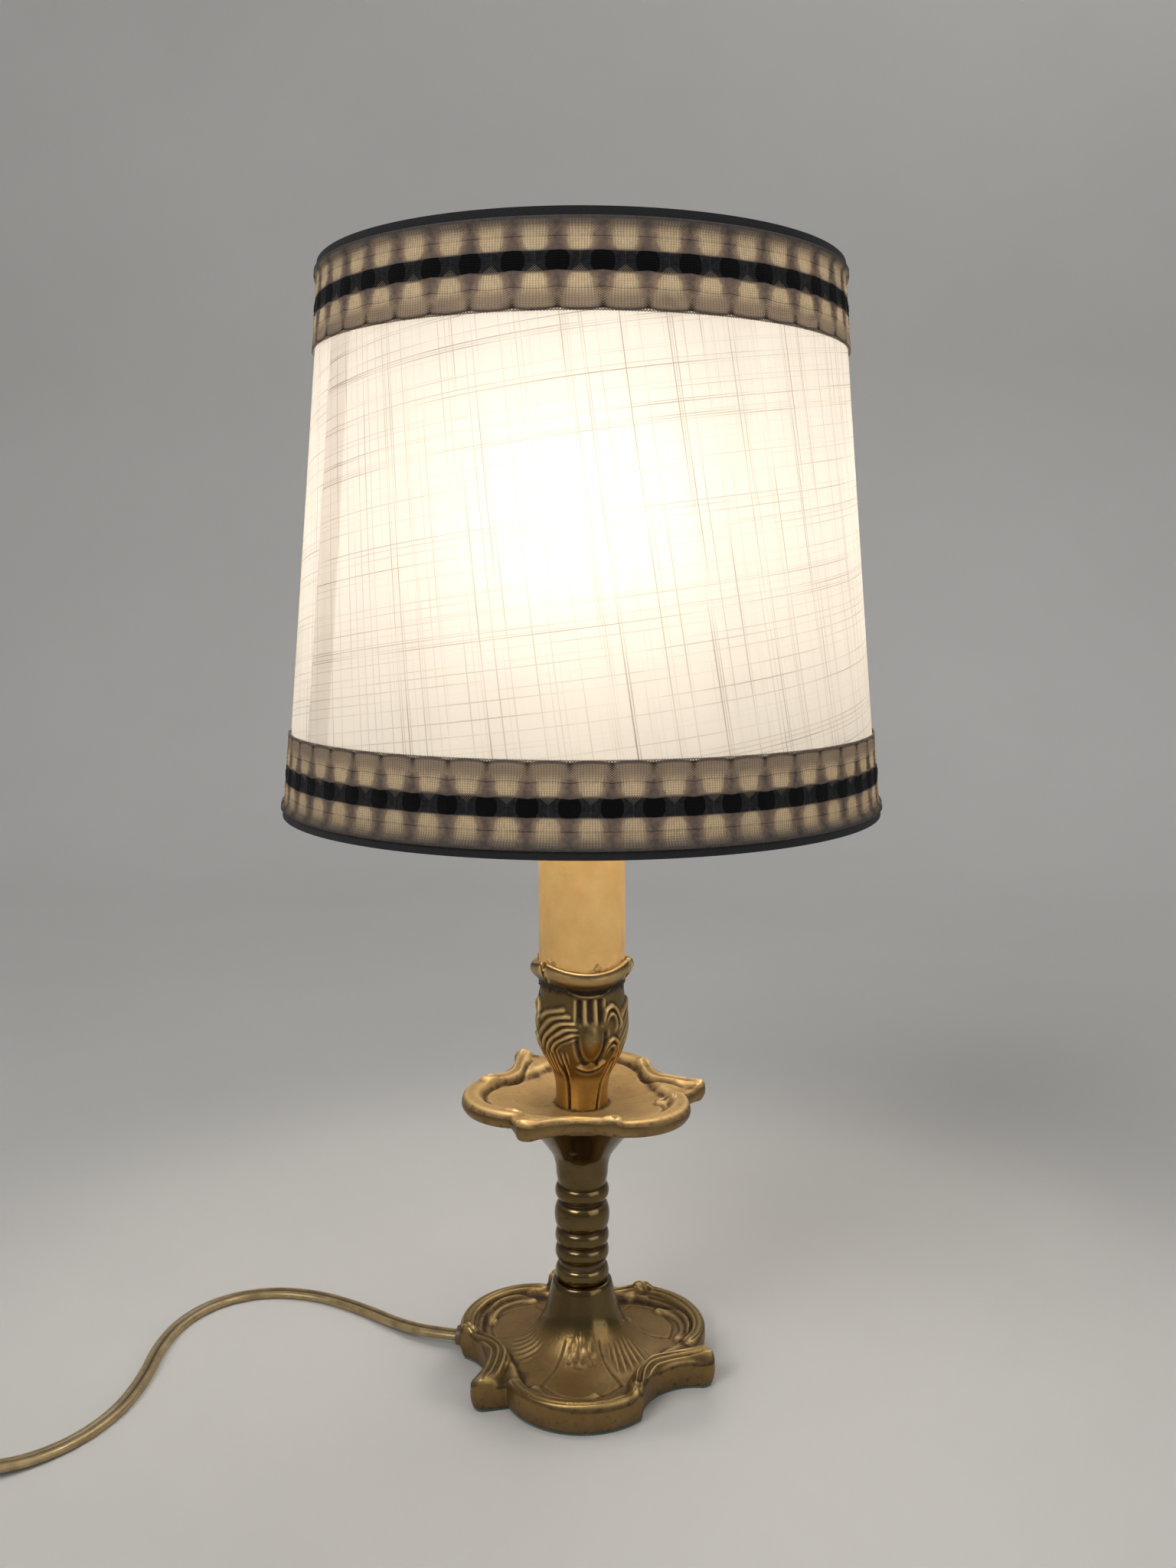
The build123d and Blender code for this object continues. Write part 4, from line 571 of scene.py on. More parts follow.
boss = oval(0.4, 113.2, 4.2, 8.6)
cup_r += 1.2 * swell(boss, 1.0) - 0.6 * swell(boss - 1.12, 0.26) * (1 - ramp(v, 114.0, 117.0))
flutes = within(v, 116.5, 119.5, 124.5, 126.2) * (1 - ramp(np.abs(u), 4.6, 5.8))
cup_r += 0.7 * flutes * (-np.cos(2 * np.pi * u / 3.5) - 0.35)
over_garland = v - (126.6 + 0.035 * u * u)
garland = 0.65 * swell(over_garland, 0.75) - 0.5 * swell(over_garland - 1.5, 1.0)
cup_r += garland * (1 - ramp(np.abs(u), 6.6, 7.8))
for panel_u in (0.0, math.radians(THIRD) * cup_mean_r):
    left = panel_u - u
    ear = np.hypot(left - 4.0, v - 104.6)
    ear = ear + 0.22 * np.sin(0.9 * ear - 0.8 * left) + 0.012 * (ear - 9.0) * (12 - left)
    ear_ridge = ridges(ear - 9.7 - 0.012 * (ear - 9.7) ** 2, 2.0)
    ear_end = 4.4 + 0.05 * (ear - 9.0) ** 2 - 1.1 * ear_ridge
    in_ear = within(ear, 7.6, 8.4, 18.8, 19.6) * ramp(left - ear_end, -0.2, 0.9)
    in_ear = in_ear * ramp(v, 106.5, 109.0) * (1 - ramp(left, 18.5, 22.0))
    cup_r += in_ear * (1.35 * ear_ridge - 0.65 + 0.4 * ramp(ear, 16.0, 17.6)) * (1.1 - 0.03 * left)
    leaves = within(left, 6.6, 7.8, 17.0, 18.6) * within(v, 99.0, 102.0, 106.5, 109.5)
    leaf_line = 0.16 * (v - 105) + 0.01 * (v - 105) ** 2 - left
    cup_r += leaves * (0.8 * ridges(leaf_line, 1.75) - 0.4)
for mid_u, mid_v, half_u, half_v in ((7.4, 117.0, 3.6, 6.6), (7.8, 107.4, 3.0, 5.6)):
    ring = oval(mid_u, mid_v, half_u, half_v)
    open_low = ramp(0.45 * (u - mid_u) / half_u + 0.9 * (v - mid_v) / half_v, -0.35, 0.45)
    cup_r += (1.7 * ridges(ring - 0.86, 0.4) - 0.75) * open_low * within(ring, 0.3, 0.5, 1.02, 1.1)
crescent_low = 101.6 + 0.06 * (u - 0.8) ** 2 + 0.10 * u
crescent_high = 104.4 + 0.4 * np.sin(1.5 * u + 0.6) + 0.14 * u
crescent_side = np.abs(u - 0.8)
crescent = ramp(v - crescent_low, 0.0, 0.5) * (1 - ramp(v - crescent_high, -0.2, 0.3))
crescent = crescent * (1 - ramp(crescent_side, 5.2, 6.0))
crescent_rim = swell(v - crescent_low + 0.4, 0.6) * (1 - ramp(crescent_side, 5.2, 6.4))
hole = oval(3.0, 104.0, 0.75, 1.3)
cup_r += 0.4 * crescent - 0.6 * crescent_rim - 0.7 * swell(hole, 1.0)
groove_left = np.abs(cup_side + 40.5)
groove_right = np.abs(cup_side - 24.0 - np.clip(v - cup_low, 0, 17))
cup_r -= 1.3 * swell(groove_left, 5.5) * (1 - ramp(v, 102.0, 105.0))
cup_r -= 1.2 * swell(groove_right, 5.0) * (1 - ramp(v, 103.5, 106.5))
from_seam = np.abs(cup_side) - THIRD / 2
cup_r -= swell(np.abs(from_seam + 0.8 * np.sin(v * 2.1)), 4.5) * ramp(v, 126.0, 130.0)
cup_marks = wear(cup_r, 14, 0.2)
# The raised crescent is rubbed bright, and the neck below it gets a painted reflection of the lit pan.
for rub_and_reflection in (0.4 * crescent * (1 - swell(hole, 1.3)), 0.55 * (1 - ramp(v, 97.0, 101.0))):
    cup_marks["crest"] = np.maximum(cup_marks["crest"], rub_and_reflection)
cup_marks["satin"] = (0.3 + 0.25 * ramp(v, 104.0, 112.0)) * (1 - 0.9 * swell(boss, 1.15))
# Painted shade in the cove under the rolled lip.
add_dirt_and_shade(cup_marks, 0.7 * swell(v - 128.2, 2.6))
lip_dip = cup_lip_dip * np.cos(np.radians(cup_side * 1.5)) ** 1.2 + 2.4 * swell(from_seam, 5.0)
lip_turn = np.linspace(0, 1, 12)[1:, None] * np.pi
lip_r = 14.75 + 1.05 * np.cos(lip_turn) + 0 * cup_deg
lip_z = cup_top_z + 0.6 * np.sin(lip_turn) - lip_dip
well_z = np.array([[133.5], [131.0], [128.0]]) + 0 * cup_deg
cup_rings = turned(cup_deg, np.concatenate([cup_r, lip_r, 13.65 + 0 * well_z]),
                   np.concatenate([v - lip_dip * ramp(v, 124.0, 134.0), lip_z,
                                   np.minimum(well_z, lip_z[-1:] - 0.2)]))
# The well inside the rolled lip is dark: painted shade.
cup_marks = carried_on(cup_marks, (lip_r.shape, 0.5, 0.0, 0.4), (well_z.shape, 0.0, 0.9, 0.5))
cup_marks = {name: mark[::-1] for name, mark in cup_marks.items()}
cup_brass = aged_brass("cup_brass", (0.21, 0.135, 0.05), (0.78, 0.55, 0.24),
                       (0.03, 0.017, 0.008), 0.2, 0.2)
place(skin("cup", cup_rings[::-1], cup_brass, cup_marks), "lamp", "brass", "candle_cup")

# Candle sleeve
# A tube of waxed card that slips over the lampholder and stands in the cup. Its foot is frayed,
# and torn layers of card stand up out of the lip.
card = grained("waxed_card", (0.76, 0.46, 0.155), (0.85, 0.55, 0.215), (0.45, 0.6), 160, 0.0003,
               Subsurface_Weight=0.15, Subsurface_Scale=0.004)
dress(card, "candle_sleeve")
torn_card = grained("torn_card", (0.26, 0.13, 0.045), (0.72, 0.46, 0.19), (0.8, 0.95), 900, 0.0004)


def sway(deg, count, shift=0.0):
    """A wave that rises and falls a number of times round the turn."""
    return np.sin(np.radians(deg * count + shift))


tear_deg = turns(360)
tear_in = 13.54 + 0 * tear_deg
tear_out = 13.72 + 0.25 * (sway(tear_deg, 7) > 0.2) + 0.15 * sway(tear_deg, 23)
tear_side = folded(tear_deg, cup_panel_deg - THIRD / 2) - cup_panel_deg
tear_top = 136.2 + 0.7 * sway(tear_deg, 5, 40) + 0.5 * sway(tear_deg, 13) + 0.3 * sway(tear_deg, 31, 70)
tear_top += 1.9 * swell(folded(tear_deg, 200) - 292, 11)
tear_top -= cup_lip_dip * np.cos(np.radians(tear_side * 1.5))
tear_rings = np.stack([turned(tear_deg, r, tear_top - drop) for r, drop in (
    (tear_in, 0.0), (tear_out, 0.25), (tear_out - 0.05, 2.2), (tear_in, 2.4))])
place(skin("torn_edge", tear_rings, torn_card, poles=False), "sleeve", "card")

# Lampholder
# A black moulded holder for a small screw bulb, on a bent strip that two nuts clamp on the tube.
# It has a brass shell, a centre contact and two terminals for the lead's cores.
bakelite = grained("black_moulding", (0.012, 0.010, 0.009), (0.045, 0.035, 0.03), (0.3, 0.45),
                   260, 0.00004)
contact_brass = grained("contact_brass", (0.48, 0.34, 0.12), (0.72, 0.53, 0.22), (0.25, 0.42), 500,
                        0.00004, Metallic=1.0)
dress(bakelite, "holder_body")
dress(plated, "holder_bracket", "bracket_nuts", "bracket_screws", "terminal_screws")
dress(contact_brass, "screw_shell", "centre_contact", "terminals")

# Bulb
# A frosted glass ball on a small aluminium screw cap, with a black glass insulator and a solder
# tip. The filament stands on a glass mount inside. The lamp is switched on, so the ball glows.
bulb_strength = 52.0
opal, opal_tree, opal_shader = new_finish(
    "frosted_glass", Roughness=0.35, Emission_Strength=bulb_strength)
opal_cloud = spread(opal_tree, noise(opal_tree, 60.0), 0.3, 0.7)
feed(opal_shader, {
    "Base Color": tint(opal_tree, opal_cloud, (0.88, 0.86, 0.80), (0.95, 0.93, 0.88)),
    "Emission Color": tint(opal_tree, opal_cloud, (1.0, 0.94, 0.85), (1.0, 0.95, 0.87))})
dress(opal, "bulb_glass")
drawn_cap = grained("drawn_cap", (0.50, 0.50, 0.49), (0.72, 0.72, 0.70), (0.25, 0.4), 600, 0.00004,
                    Metallic=1.0)
black_glass = grained("black_glass", (0.008, 0.008, 0.01), (0.03, 0.03, 0.035), (0.05, 0.15),
                      300, 0.00002)
mount_glass = grained("mount_glass", (0.80, 0.84, 0.83), (0.92, 0.95, 0.94), (0.05, 0.12), 200, 0.00002)
hot_wire = grained("filament_wire", (0.20, 0.19, 0.18), (0.34, 0.33, 0.31), (0.4, 0.55), 900, 0.00002,
                   Metallic=1.0)
dress(drawn_cap, "bulb_cap", "bulb_tip")
dress(black_glass, "bulb_insulator")
dress(mount_glass, "bulb_mount")
dress(hot_wire, "bulb_filament")

# Spring clip and carrier
# Two nickelled wire loops grip the ball. They hang from a small plate whose rivet lets the shade
# turn; a hub, three arms and two rings of white painted wire carry the cloth.
nickel = grained("nickel_wire", (0.52, 0.51, 0.48), (0.70, 0.69, 0.65), (0.2, 0.34), 500, 0.00003,
                 Metallic=1.0)
white_wire = grained("white_paint", (0.70, 0.68, 0.62), (0.82, 0.80, 0.74), (0.4, 0.55), 350, 0.00005)
dress(nickel, "clip_loop_left", "clip_loop_right", "clip_plate", "swivel_rivet")
dress(white_wire, "carrier_hub", "carrier_arms", "top_ring", "bottom_ring")

# Shade cloth
# Cream slub linen stretched round the two rings, with its ends lapped at the back left and stuck to
# a clear film. Thick brown threads run both ways through the weave, a little off the upright.
shade_low, shade_high = reach("shade_fabric")
shade_h = shade_high - shade_low
shade_low_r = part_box("shade_fabric")[1].x / MM
shade_slope = -13.9 / 158.0
cloth_t = 0.45
seam_deg = 210.0
seam_w = 9.0
weave_lean = math.radians(-7.5)
weft_pitch, warp_pitch, fine_weave = 0.62, 0.70, 9.0


def shade_r(z):
    """Outer radius of the cloth at a height."""
    return shade_low_r + shade_slope * (z - shade_low)


cloth_share = np.linspace(0, 1, 80)
cloth_z = (shade_low + shade_h * cloth_share)[:, None]
cloth_deg = seam_deg + turns(360)
from_seam = cloth_deg - seam_deg
cloth_lap = 0.3 * within(from_seam, 0.0, 1.0, 0.8 * seam_w, seam_w)
slack = 0.12 * sway(cloth_deg, 3) * np.sin(np.pi * cloth_share)[:, None]
cloth_r = shade_r(cloth_z) - 0.1 + cloth_lap + slack
cloth_rings = np.concatenate([turned(cloth_deg, cloth_r, cloth_z)[::-1],
                              turned(cloth_deg, cloth_r - cloth_t, cloth_z)])
cloth_v = np.concatenate([cloth_share[::-1], cloth_share])

linen, weave, linen_shader = new_finish("slub_linen", Roughness=0.85, Transmission_Weight=0.6)
ranged, mixed, times, plus = bench(weave)
cloth_uv = put(weave, "ShaderNodeUVMap", uv_map="UVMap").outputs[0]
cloth_size = (2 * np.pi * shade_r((shade_low + shade_high) / 2), shade_h, 1.0)
cloth_mm = put(weave, "ShaderNodeMapping",
               {"Vector": cloth_uv, "Rotation": (0, 0, weave_lean), "Scale": cloth_size}).outputs[0]
cloth_x, cloth_y = put(weave, "ShaderNodeSeparateXYZ", {0: cloth_mm}).outputs[:2]


def slub(along, across, pitch, seed):
    """Mask of the thick threads along one axis: some of them all, each with its own weight."""
    count = times(across, 1.0 / pitch)
    number = sums(weave, "FLOOR", count)
    own = put(weave, "ShaderNodeTexWhiteNoise", {"W": plus(number, seed)},
              noise_dimensions="1D").outputs["Value"]
    spot = put(weave, "ShaderNodeCombineXYZ", {0: times(along, 0.025), 1: times(number, 7.3), 2: seed})
    length = put(weave, "ShaderNodeTexNoise", {"Vector": spot.outputs[0], "Scale": 1.0}).outputs[0]
    middle = ranged(sums(weave, "PINGPONG", count, 0.5), 0.2, 0.42)
    return times(times(ranged(own, 0.55, 1.0), ranged(length, 0.36, 0.62, 0.1, 1.0)), middle)


def let_through(finish, shader, share, colour):
    """Mixes the light that comes through from behind into a cloth's finish."""
    tree = finish.node_tree
    behind = put(tree, "ShaderNodeBsdfTranslucent", {"Color": colour})
    both = put(tree, "ShaderNodeMixShader", {0: share, 1: shader.outputs[0], 2: behind.outputs[0]})
    feed(tree.nodes["Material Output"], {"Surface": both.outputs[0]})


threads = sums(weave, "MAXIMUM", slub(cloth_x, cloth_y, weft_pitch, 3.0),
               slub(cloth_y, cloth_x, warp_pitch, 11.0))
plain_weave = times(sums(weave, "SINE", times(cloth_x, fine_weave)),
                    sums(weave, "SINE", times(cloth_y, fine_weave)))
seam_share = seam_w / 360
seam_x = put(weave, "ShaderNodeSeparateXYZ", {0: cloth_uv}).outputs[0]
# The lapped seam is darker: painted shade of the doubled cloth against the glowing bulb.
lap_shade_mask = ranged(seam_x, seam_share * 0.93, seam_share, 1.0, 0.0)
shadowed = plus(times(threads, 0.9), times(lap_shade_mask, 0.22))
linen_colour = mixed(shadowed, (0.85, 0.82, 0.775), (0.32, 0.26, 0.20))
linen_height = plus(times(plain_weave, 0.35), threads)
linen_bump = put(weave, "ShaderNodeBump", {"Height": linen_height, "Distance": 0.00015, "Strength": 0.6})
feed(linen_shader, {"Base Color": linen_colour, "Normal": linen_bump.outputs[0]})
let_through(linen, linen_shader, 0.24, linen_colour)
cloth = place(skin("shade_cloth", cloth_rings, linen, poles=False, uv=cloth_v),
              "shade", "linen", "shade_fabric")
film, film_tree, film_shader = new_finish("clear_film", Roughness=0.4, Alpha=0.12)
film_colour = tint(film_tree, noise(film_tree, 90.0), (0.86, 0.84, 0.78), (0.92, 0.90, 0.86))
feed(film_shader, {"Base Color": film_colour})
dress(film, "shade_liner")

# Edge tapes
# Black ribbed tape, folded over the two rims of the shade so that it covers the rings. It is
# glued down on the cloth.
tape = grained("black_tape", (0.003, 0.0035, 0.004), (0.012, 0.013, 0.016), (0.75, 0.95), 1800, 0.0004,
               Sheen_Weight=0.08)
dress(tape, "top_edge_tape", "bottom_edge_tape")

# Braids
# Woven gimp with a repeating figure: a black ribbon of lozenges down the middle, ribbed gold patches
# above and below it, sheer grey columns between them, and a scalloped edge on the cloth.
braid_steps = 20
braid_rows = 40
braid_lap = 0.07
ribbon_mid = 0.445
braid_sheer, braid_shadow = (0.42, 0.365, 0.34), (0.25, 0.215, 0.20)
braid_gold, braid_lit = (0.96, 0.83, 0.57), (1.0, 0.96, 0.86)
braid_black, braid_drawn = (0.004, 0.005, 0.006), (0.05, 0.034, 0.024)
braid_slate, braid_slate_low = (0.085, 0.088, 0.10), (0.045, 0.047, 0.056)
picot_per_repeat = 14
picot_loop, picot_thread_r = 0.00034, 0.00019


def braid_finish(name, repeats):
    """The gimp's figure, by its UV map: repeats round the shade, 0 at the tape to 1 at the scallops."""
    finish, tree, shader = new_finish(name, Roughness=0.75, Sheen_Weight=0.2)
    ranged, mixed, times, plus = bench(tree)
    less, most = partial(sums, tree, "SUBTRACT"), partial(sums, tree, "MAXIMUM")
    uv = put(tree, "ShaderNodeUVMap", uv_map="UVMap").outputs[0]
    turn, across = put(tree, "ShaderNodeSeparateXYZ", {0: uv}).outputs[:2]
    cell = sums(tree, "PINGPONG", times(turn, float(repeats)), 0.5)
    from_mid = sums(tree, "ABSOLUTE", less(across, ribbon_mid))

    def row(low, high, soft):
        return times(ranged(across, low, low + soft), ranged(across, high - soft, high, 1.0, 0.0))

    def wave(value, count):
        return sums(tree, "SINE", times(value, 2 * math.pi * count))

    jitter = noise(tree, 900.0, 3.0)
    bow = ranged(from_mid, 0.1, 0.42, 1.12, 0.94)
    rib, pick = wave(plus(times(cell, bow), times(jitter, 0.03)), 15), wave(across, 34)
    crossing = times(rib, pick)
    ragged = plus(cell, times(less(jitter, 0.5), 0.14))
    hem = ranged(across, 0.74, 0.84)
    patch_half = plus(ranged(from_mid, 0.10, 0.22, 0.19, 0.30), times(hem, 0.11))
    inside = less(patch_half, ragged)
    rows = most(row(-0.045, 0.325, 0.03), row(0.565, 0.985, 0.03))
    patch = times(ranged(inside, -0.02, 0.07), rows)
    # Painted light: the gold patches are brightest next to the ribbon and dim towards their outer ends,
    # standing in for light through them.
    fall = times(ranged(from_mid, 0.24, 0.42, 1.0, 0.5), ranged(hem, 0.0, 1.0, 1.0, 0.62))
    strands = times(ranged(rib, -1.0, 0.5, 0.35, 1.0), ranged(pick, -1.0, 0.3, 0.6, 1.0))
    strands = times(strands, ranged(jitter, 0.3, 0.6, 0.6, 1.0))
    gold = times(times(patch, fall), strands)
    knots = times(ranged(crossing, 0.2, 0.6, 0.0, 0.8), rows)
    border = times(ranged(inside, -0.16, -0.06), ranged(inside, 0.0, 0.05, 1.0, 0.0))
    notch = times(ranged(across, 0.84, 0.95, 0.0, 0.8), ranged(cell, 0.40, 0.47))
    drawn = most(row(0.148, 0.166, 0.006), row(0.742, 0.76, 0.006))
    colour = mixed(ranged(jitter, 0.35, 0.65, 0.0, 0.5), braid_sheer, braid_shadow)
    colour = mixed(notch, colour, braid_slate)
    colour = mixed(most(gold, times(knots, border)), colour, braid_gold)
    colour = mixed(times(drawn, 0.55), colour, braid_drawn)
    lozenge = ranged(plus(cell, ranged(from_mid, 0.05, 0.125, 0.27, 0.19)), 0.485, 0.515)
    ribbon_gap = mixed(ranged(jitter, 0.4, 0.6, 0.0, 0.7), braid_slate, braid_slate_low)
    corner = ranged(plus(cell, ranged(across, 0.47, 0.56, 0.2, 0.0)), 0.16, 0.22, 1.0, 0.0)
    glint = times(corner, ranged(crossing, 0.2, 0.6, 0.0, 0.7))
    dark = mixed(lozenge, mixed(glint, ribbon_gap, braid_gold), braid_black)
    colour = mixed(row(0.318, 0.565, 0.012), colour, dark)
    height = plus(times(rib, 0.6), plus(pick, jitter))
    bump = put(tree, "ShaderNodeBump", {"Height": height, "Distance": 0.0002, "Strength": 0.6})
    feed(shader, {"Base Color": colour, "Normal": bump.outputs[0]})
    let_through(finish, shader, 0.78, mixed(gold, colour, braid_lit))
    return finish


picot_thread = grained("picot_thread", (0.16, 0.12, 0.085), (0.46, 0.36, 0.24), (0.75, 0.95),
                       1500, 0.0002, Sheen_Weight=0.2)
picot, picot_in, picot_out = new_group(
    "picot_edge", {"Count": "Int", "Radius": "Float", "Height": "Float", "Loop": "Float",
                   "Thread": "Float", "Finish": "Material"},
    {"Geometry": "Geometry"}, "GeometryNodeTree")
edge_line, loop_line, thread_line = (
    put(picot, "GeometryNodeCurvePrimitiveCircle", {"Resolution": count, "Radius": radius}).outputs[0]
    for count, radius in ((picot_in["Count"], picot_in["Radius"]), (8, picot_in["Loop"]),
                          (5, picot_in["Thread"])))
loop_tube = put(picot, "GeometryNodeCurveToMesh", {"Curve": loop_line, "Profile Curve": thread_line})
edge_spot = put(picot, "GeometryNodeInputPosition").outputs[0]
facing = put(picot, "FunctionNodeAlignRotationToVector", {"Vector": edge_spot}, axis="Z")
looped = put(picot, "GeometryNodeInstanceOnPoints", {
    "Points": edge_line, "Instance": loop_tube.outputs[0], "Rotation": facing.outputs[0]})
lift = put(picot, "ShaderNodeCombineXYZ", {2: picot_in["Height"]})
raised = put(picot, "GeometryNodeTransform", {
    "Geometry": looped.outputs[0], "Translation": lift.outputs[0]})
plain_loops = put(picot, "GeometryNodeRealizeInstances", {0: raised.outputs[0]})
coloured = put(picot, "GeometryNodeSetMaterial", {
    "Geometry": plain_loops.outputs[0], "Material": picot_in["Finish"]})
feed(picot_out, {"Geometry": coloured.outputs[0]})


def grown(name, tree, **sizes):
    """A plain mesh piece made by a geometry tree with its named sizes."""
    piece = shown(name, bpy.data.meshes.new(name))
    maker = piece.modifiers.new("maker", "NODES")
    maker.node_group = tree
    for item in tree.interface.items_tree:
        if item.in_out == "INPUT" and item.name in sizes:
            maker[item.identifier] = sizes[item.name]
    depsgraph = bpy.context.evaluated_depsgraph_get()
    made = bpy.data.meshes.new_from_object(piece.evaluated_get(depsgraph))
    piece.modifiers.clear()
    piece.data = made
    made.shade_smooth()
    return piece


for name, node, repeats, tape_up in (("top_gimp", "top_braid", 44, True),
                                     ("bottom_gimp", "bottom_braid", 53, False)):
    low, high = reach(node)
    turn = np.arange(repeats * braid_steps) / braid_steps
    deg = 360 * turn / repeats
    share = np.linspace(-braid_lap, 1, braid_rows)[:, None]
    scallop = 0.985 + 0.03 * np.abs(np.cos(np.pi * turn))
    across = np.where(share > 0, share * scallop, share)
    z = high - across * (high - low) if tape_up else low + across * (high - low)
    on_tape = 0.9 * (1 - ramp(share, 0.0, 0.05))
    puff = 0.2 * np.cos(2 * np.pi * turn) * (swell(share - 0.21, 0.12) + swell(share - 0.68, 0.12))
    puff = puff + 0.25 * swell(share - ribbon_mid, 0.13) * np.cos(2 * np.pi * turn + np.pi)
    puff = puff + 0.08 * np.cos(share * 2 * np.pi * 17)
    outer = turned(deg, shade_r(z) + 0.62 + puff + on_tape, z)
    inner = turned(deg, shade_r(z) + 0.06 + on_tape, z)
    rings = np.concatenate([outer, inner[::-1]] if tape_up else [outer[::-1], inner])
    braid_v = np.concatenate([share, share[::-1]] if tape_up else [share[::-1], share]).ravel()
    finish = braid_finish(name, repeats)
    place(skin(name, rings, finish, poles=False, uv=braid_v), "shade", "braid", node)
    picot_z = low if tape_up else high
    loops = grown(name + "_picots", picot, Count=repeats * picot_per_repeat,
                  Radius=(shade_r(picot_z) + 0.42) * MM, Height=picot_z * MM,
                  Loop=picot_loop, Thread=picot_thread_r, Finish=picot_thread)
    place(loops, "shade", "braid")

# Lead
# Flat twin lead in clear gold plastic, two cores side by side, with a brown bush where it leaves the
# foot. It curves away over the table; the rest is wound in a tied coil beside the switch.
lead_w = 5.0
lead_t = 2.6
lead_lie = lead_t / 2
lead_exit_deg = 168.0
coil_mid = np.array((-224.0, -132.0))
coil_r, coil_pitch, coil_turns, coil_steps = 40.5, 5.6, 3.65, 14
tie_t = 1.0
coil_low = tie_t + lead_lie
switch_mid = np.array((-218.0, -74.0))
switch_dir = around(190.0, 1.0)
switch_half = 24.5
switch_lead_z = 6.0
plug_at = np.array((-172.0, -159.0))
plug_lead_z = 6.85
lead_route = [
    (*around(lead_exit_deg, 35.6), 4.2), (*around(lead_exit_deg, 50.5), 4.0), (-62.0, 19.0, 2.2),
    (-76.0, 31.0, lead_lie), (-92.5, 40.5, lead_lie), (-110.0, 43.8, lead_lie),
    (-126.0, 38.5, lead_lie), (-136.5, 25.0, lead_lie), (-140.0, 7.0, lead_lie),
    (-139.0, -13.0, lead_lie), (-141.5, -32.0, lead_lie), (-150.0, -48.5, lead_lie),
    (-163.5, -60.5, 2.2), (*(switch_mid - 38.0 * switch_dir), switch_lead_z),
    (*(switch_mid - switch_half * switch_dir), switch_lead_z), (*switch_mid, switch_lead_z),
    (*(switch_mid + switch_half * switch_dir), switch_lead_z),
    (*(switch_mid + (switch_half + 11.0) * switch_dir), 5.6),
    (-260.0, -84.6, 4.2), (-265.0, -93.5, 3.0), (-266.2, -104.0, coil_low), (-264.5, -115.0, coil_low),
    (-264.5, -127.0, coil_low)]
for k in range(round(2 * coil_turns * coil_steps) + 1):
    wound = k / coil_steps
    inward = coil_turns - abs(wound - coil_turns)
    spot = coil_mid + around(180 + 360 * wound, coil_r - coil_pitch * inward)
    lead_route.append((*spot, coil_low + (lead_t + 0.3) * ramp(wound - coil_turns, -0.25, 0.25)))
lead_route += [(-196.0, -160.6, 5.4), (-186.0, -159.6, 6.4), (*(plug_at - (3.0, 0.0)), plug_lead_z),
               (*(plug_at + (9.0, 0.0)), plug_lead_z)]
route = bpy.data.curves.new("lead_route", "CURVE")
route.dimensions = "3D"
spline = route.splines.new("NURBS")
spline.points.add(len(lead_route) - 1)
for point, spot in zip(spline.points, lead_route):
    point.co = (*(np.array(spot) * MM), 1.0)
spline.order_u = 3
spline.use_endpoint_u = True
spline.resolution_u = 6
route_piece = shown("lead_route", route)
bpy.context.view_layer.update()
line_mesh = bpy.data.meshes.new_from_object(route_piece)
line = np.array([vert.co for vert in line_mesh.vertices]) / MM
bpy.data.objects.remove(route_piece)
bpy.data.meshes.remove(line_mesh)
ahead = np.gradient(line, axis=0)
ahead /= np.linalg.norm(ahead, axis=1)[:, None]
sideways = np.stack([-ahead[:, 1], ahead[:, 0], 0 * ahead[:, 0]], 1)
sideways /= np.linalg.norm(sideways, axis=1)[:, None]
upward = np.cross(ahead, sideways)
core_r = lead_t / 2
core_turn = np.radians(np.linspace(-150, 150, 12))
core_x = lead_w / 2 - core_r + core_r * np.cos(core_turn)
core_x = np.concatenate([core_x, -core_x])[:, None]
core_y = core_r * np.sin(core_turn)
core_y = np.concatenate([core_y, -core_y])[:, None]
lead_rings = line[:, None] - sideways[:, None] * core_x + upward[:, None] * core_y
# The crease between the two cores is darker: painted shade.
crease_shade = np.broadcast_to(1 - ramp(np.abs(core_x[:, 0]), 0.05, 0.9), lead_rings.shape[:2])
gold_lead, lead_tree, lead_shader = new_finish("gold_lead", Coat_Weight=0.3, Coat_Roughness=0.2)
lead_grain = put(lead_tree, "ShaderNodeGroup", {"Scale": 240, "Depth": 0.00005}, node_tree=grain).outputs
lead_mask = partial(spread, lead_tree, lead_grain["Mask"])
core_gold = tint(lead_tree, lead_mask(0.35, 0.65), (0.23, 0.16, 0.065), (0.40, 0.29, 0.13))
between = put(lead_tree, "ShaderNodeAttribute", attribute_name="crease_shade").outputs["Fac"]
feed(lead_shader, {"Base Color": tint(lead_tree, between, core_gold, (0.045, 0.03, 0.014)),
                   "Roughness": lead_mask(0.3, 0.7, 0.28, 0.42),
                   "Metallic": lead_mask(0.3, 0.7, 0.25, 0.45), "Normal": lead_grain["Normal"]})
lead = place(skin("lead", lead_rings, gold_lead, {"crease_shade": crease_shade}), "lamp", "lead",
             "cord_lead", "cord_link", "cord_coil", "cord_tail")
bush_finish = grained("brown_bush", (0.10, 0.06, 0.025), (0.18, 0.11, 0.05), (0.35, 0.5), 300, 0.00004)
dress(bush_finish, "cord_bush")
dress(gold_lead, "inner_cores")

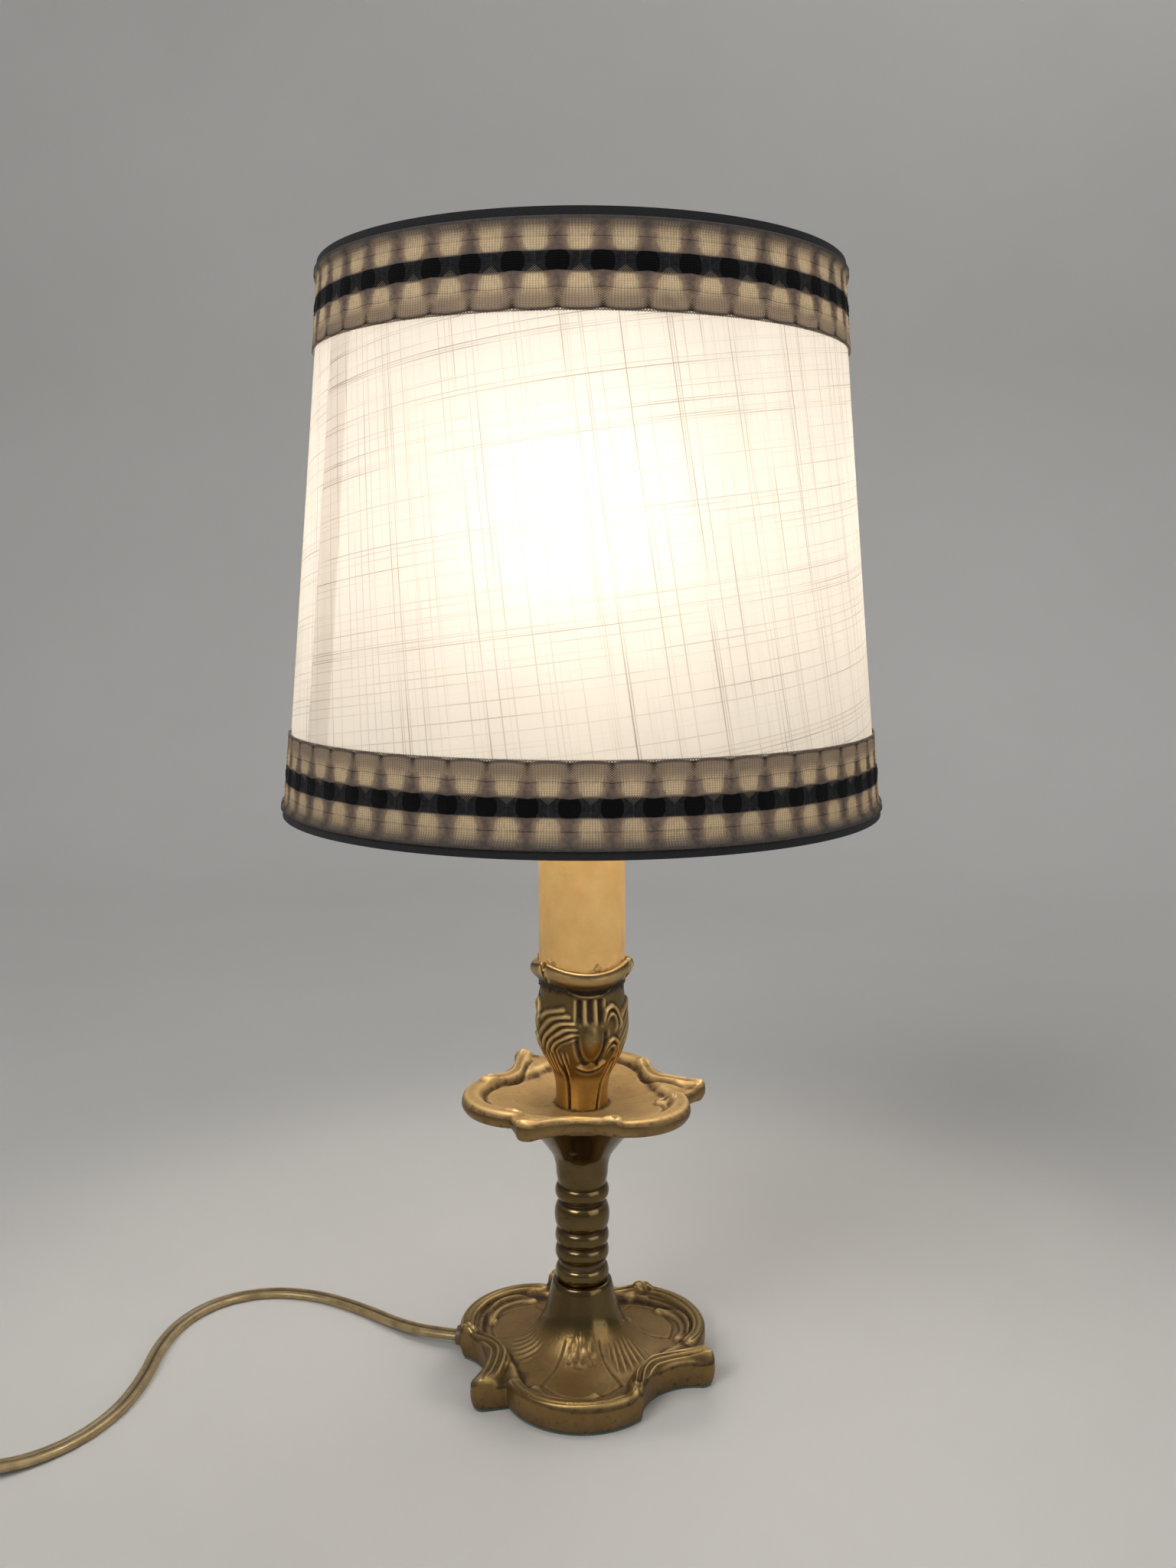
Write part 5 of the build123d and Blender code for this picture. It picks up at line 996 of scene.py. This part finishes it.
# Tie, switch and plug
# A coated wire tie holds the coil. The switch is two moulded shells with a rocker on an axle, and
# the plug is the flat kind with two sleeved pins.
tie_finish = grained("tie_coating", (0.02, 0.018, 0.016), (0.06, 0.055, 0.05), (0.4, 0.6), 500, 0.0001)
tie_deg = 30.0
tie_w = 6.0
tie_in, tie_out = coil_r - coil_pitch * coil_turns - 3.0, coil_r + 3.0
tie_top = coil_low + 1.5 * lead_t + 0.6
tie_turn = np.radians(turns(72))
tie_cos, tie_sin = np.cos(tie_turn), np.sin(tie_turn)
loop_r = (tie_in + tie_out) / 2 + (tie_out - tie_in) / 2 * np.sign(tie_cos) * np.abs(tie_cos) ** 0.25
loop_z = (tie_top + tie_t) / 2 + (tie_top - tie_t) / 2 * np.sign(tie_sin) * np.abs(tie_sin) ** 0.4
tie_rings = []
for side, proud in ((0.5, 0.15), (0.5, 0.85), (-0.5, 0.85), (-0.5, 0.15)):
    spot = coil_mid + around(tie_deg, loop_r + proud * tie_cos) + around(tie_deg + 90, side * tie_w)
    tie_rings.append(np.concatenate([spot, (loop_z + proud * tie_sin)[:, None]], 1))
place(skin("tie", np.array(tie_rings), tie_finish, poles=False), "lamp", "tie", "coil_tie")
moulded = grained("gold_moulding", (0.42, 0.30, 0.12), (0.56, 0.41, 0.18), (0.3, 0.45), 200, 0.00006,
                  Coat_Weight=0.2)
pressed = grained("rocker_moulding", (0.34, 0.24, 0.09), (0.48, 0.34, 0.14), (0.28, 0.4), 200, 0.00005)
dress(moulded, "switch_base", "switch_cover", "plug_body", "pin_sleeves")
dress(pressed, "switch_rocker")
dress(plated, "switch_screws", "rocker_axle")
dress(contact_brass, "switch_contacts")
dress(nickel, "plug_pins")

# Floor, light and camera
# A plain pale floor that turns up into a backdrop, three soft lamps and an even surround, and
# the photograph's view.
pale = grained("pale_floor", (0.56, 0.55, 0.53), (0.60, 0.59, 0.57), (0.8, 0.95), 3.0, 0.0)
floor_half, floor_end, bend_r = 3.0, 0.7, 0.5
bend = [(floor_end + bend_r * math.sin(a), bend_r - bend_r * math.cos(a))
        for a in np.linspace(0.1, math.pi / 2, 14)]
sweep = [(-2.5, 0.0), (floor_end, 0.0)] + bend + [(floor_end + bend_r, 2.6)]
floor_mesh = bpy.data.meshes.new("floor")
floor_mesh.from_pydata([(x, y, z) for y, z in sweep for x in (-floor_half, floor_half)], [],
                       [(k, k + 1, k + 3, k + 2) for k in range(0, 2 * len(sweep) - 2, 2)])
floor_mesh.shade_smooth()
floor_mesh.materials.append(pale)
shown("floor", floor_mesh)
for name, spot, aim_z, size, power in (("key", (-0.9, -1.1, 1.3), 0.15, 0.9, 13.0),
                                       ("fill", (1.2, -0.9, 0.7), 0.15, 1.2, 5.0),
                                       ("back", (0.5, 1.0, 1.4), 0.2, 0.8, 5.0)):
    lamp_data = bpy.data.lights.new(name, "AREA")
    lamp_data.energy, lamp_data.size = power, size
    lamp_piece = shown(name, lamp_data)
    lamp_piece.location = spot
    way = Vector((0, 0, aim_z)) - Vector(spot)
    lamp_piece.rotation_euler = way.to_track_quat("-Z", "Y").to_euler()
world = bpy.data.worlds.new("studio")
world.use_nodes = True
feed(world.node_tree.nodes["Background"], {"Color": (0.55, 0.55, 0.56, 1), "Strength": 0.4})
bpy.context.scene.world = world
camera_data = bpy.data.cameras.new("camera")
camera_data.sensor_width = 36.0
camera_data.lens = 1868 / 2048 * camera_data.sensor_width
camera = shown("camera", camera_data)
camera.location = (0.0019, -0.437, 0.2507)
camera.rotation_euler = (math.radians(90 - 7.88), 0, 0)
bpy.context.scene.camera = camera
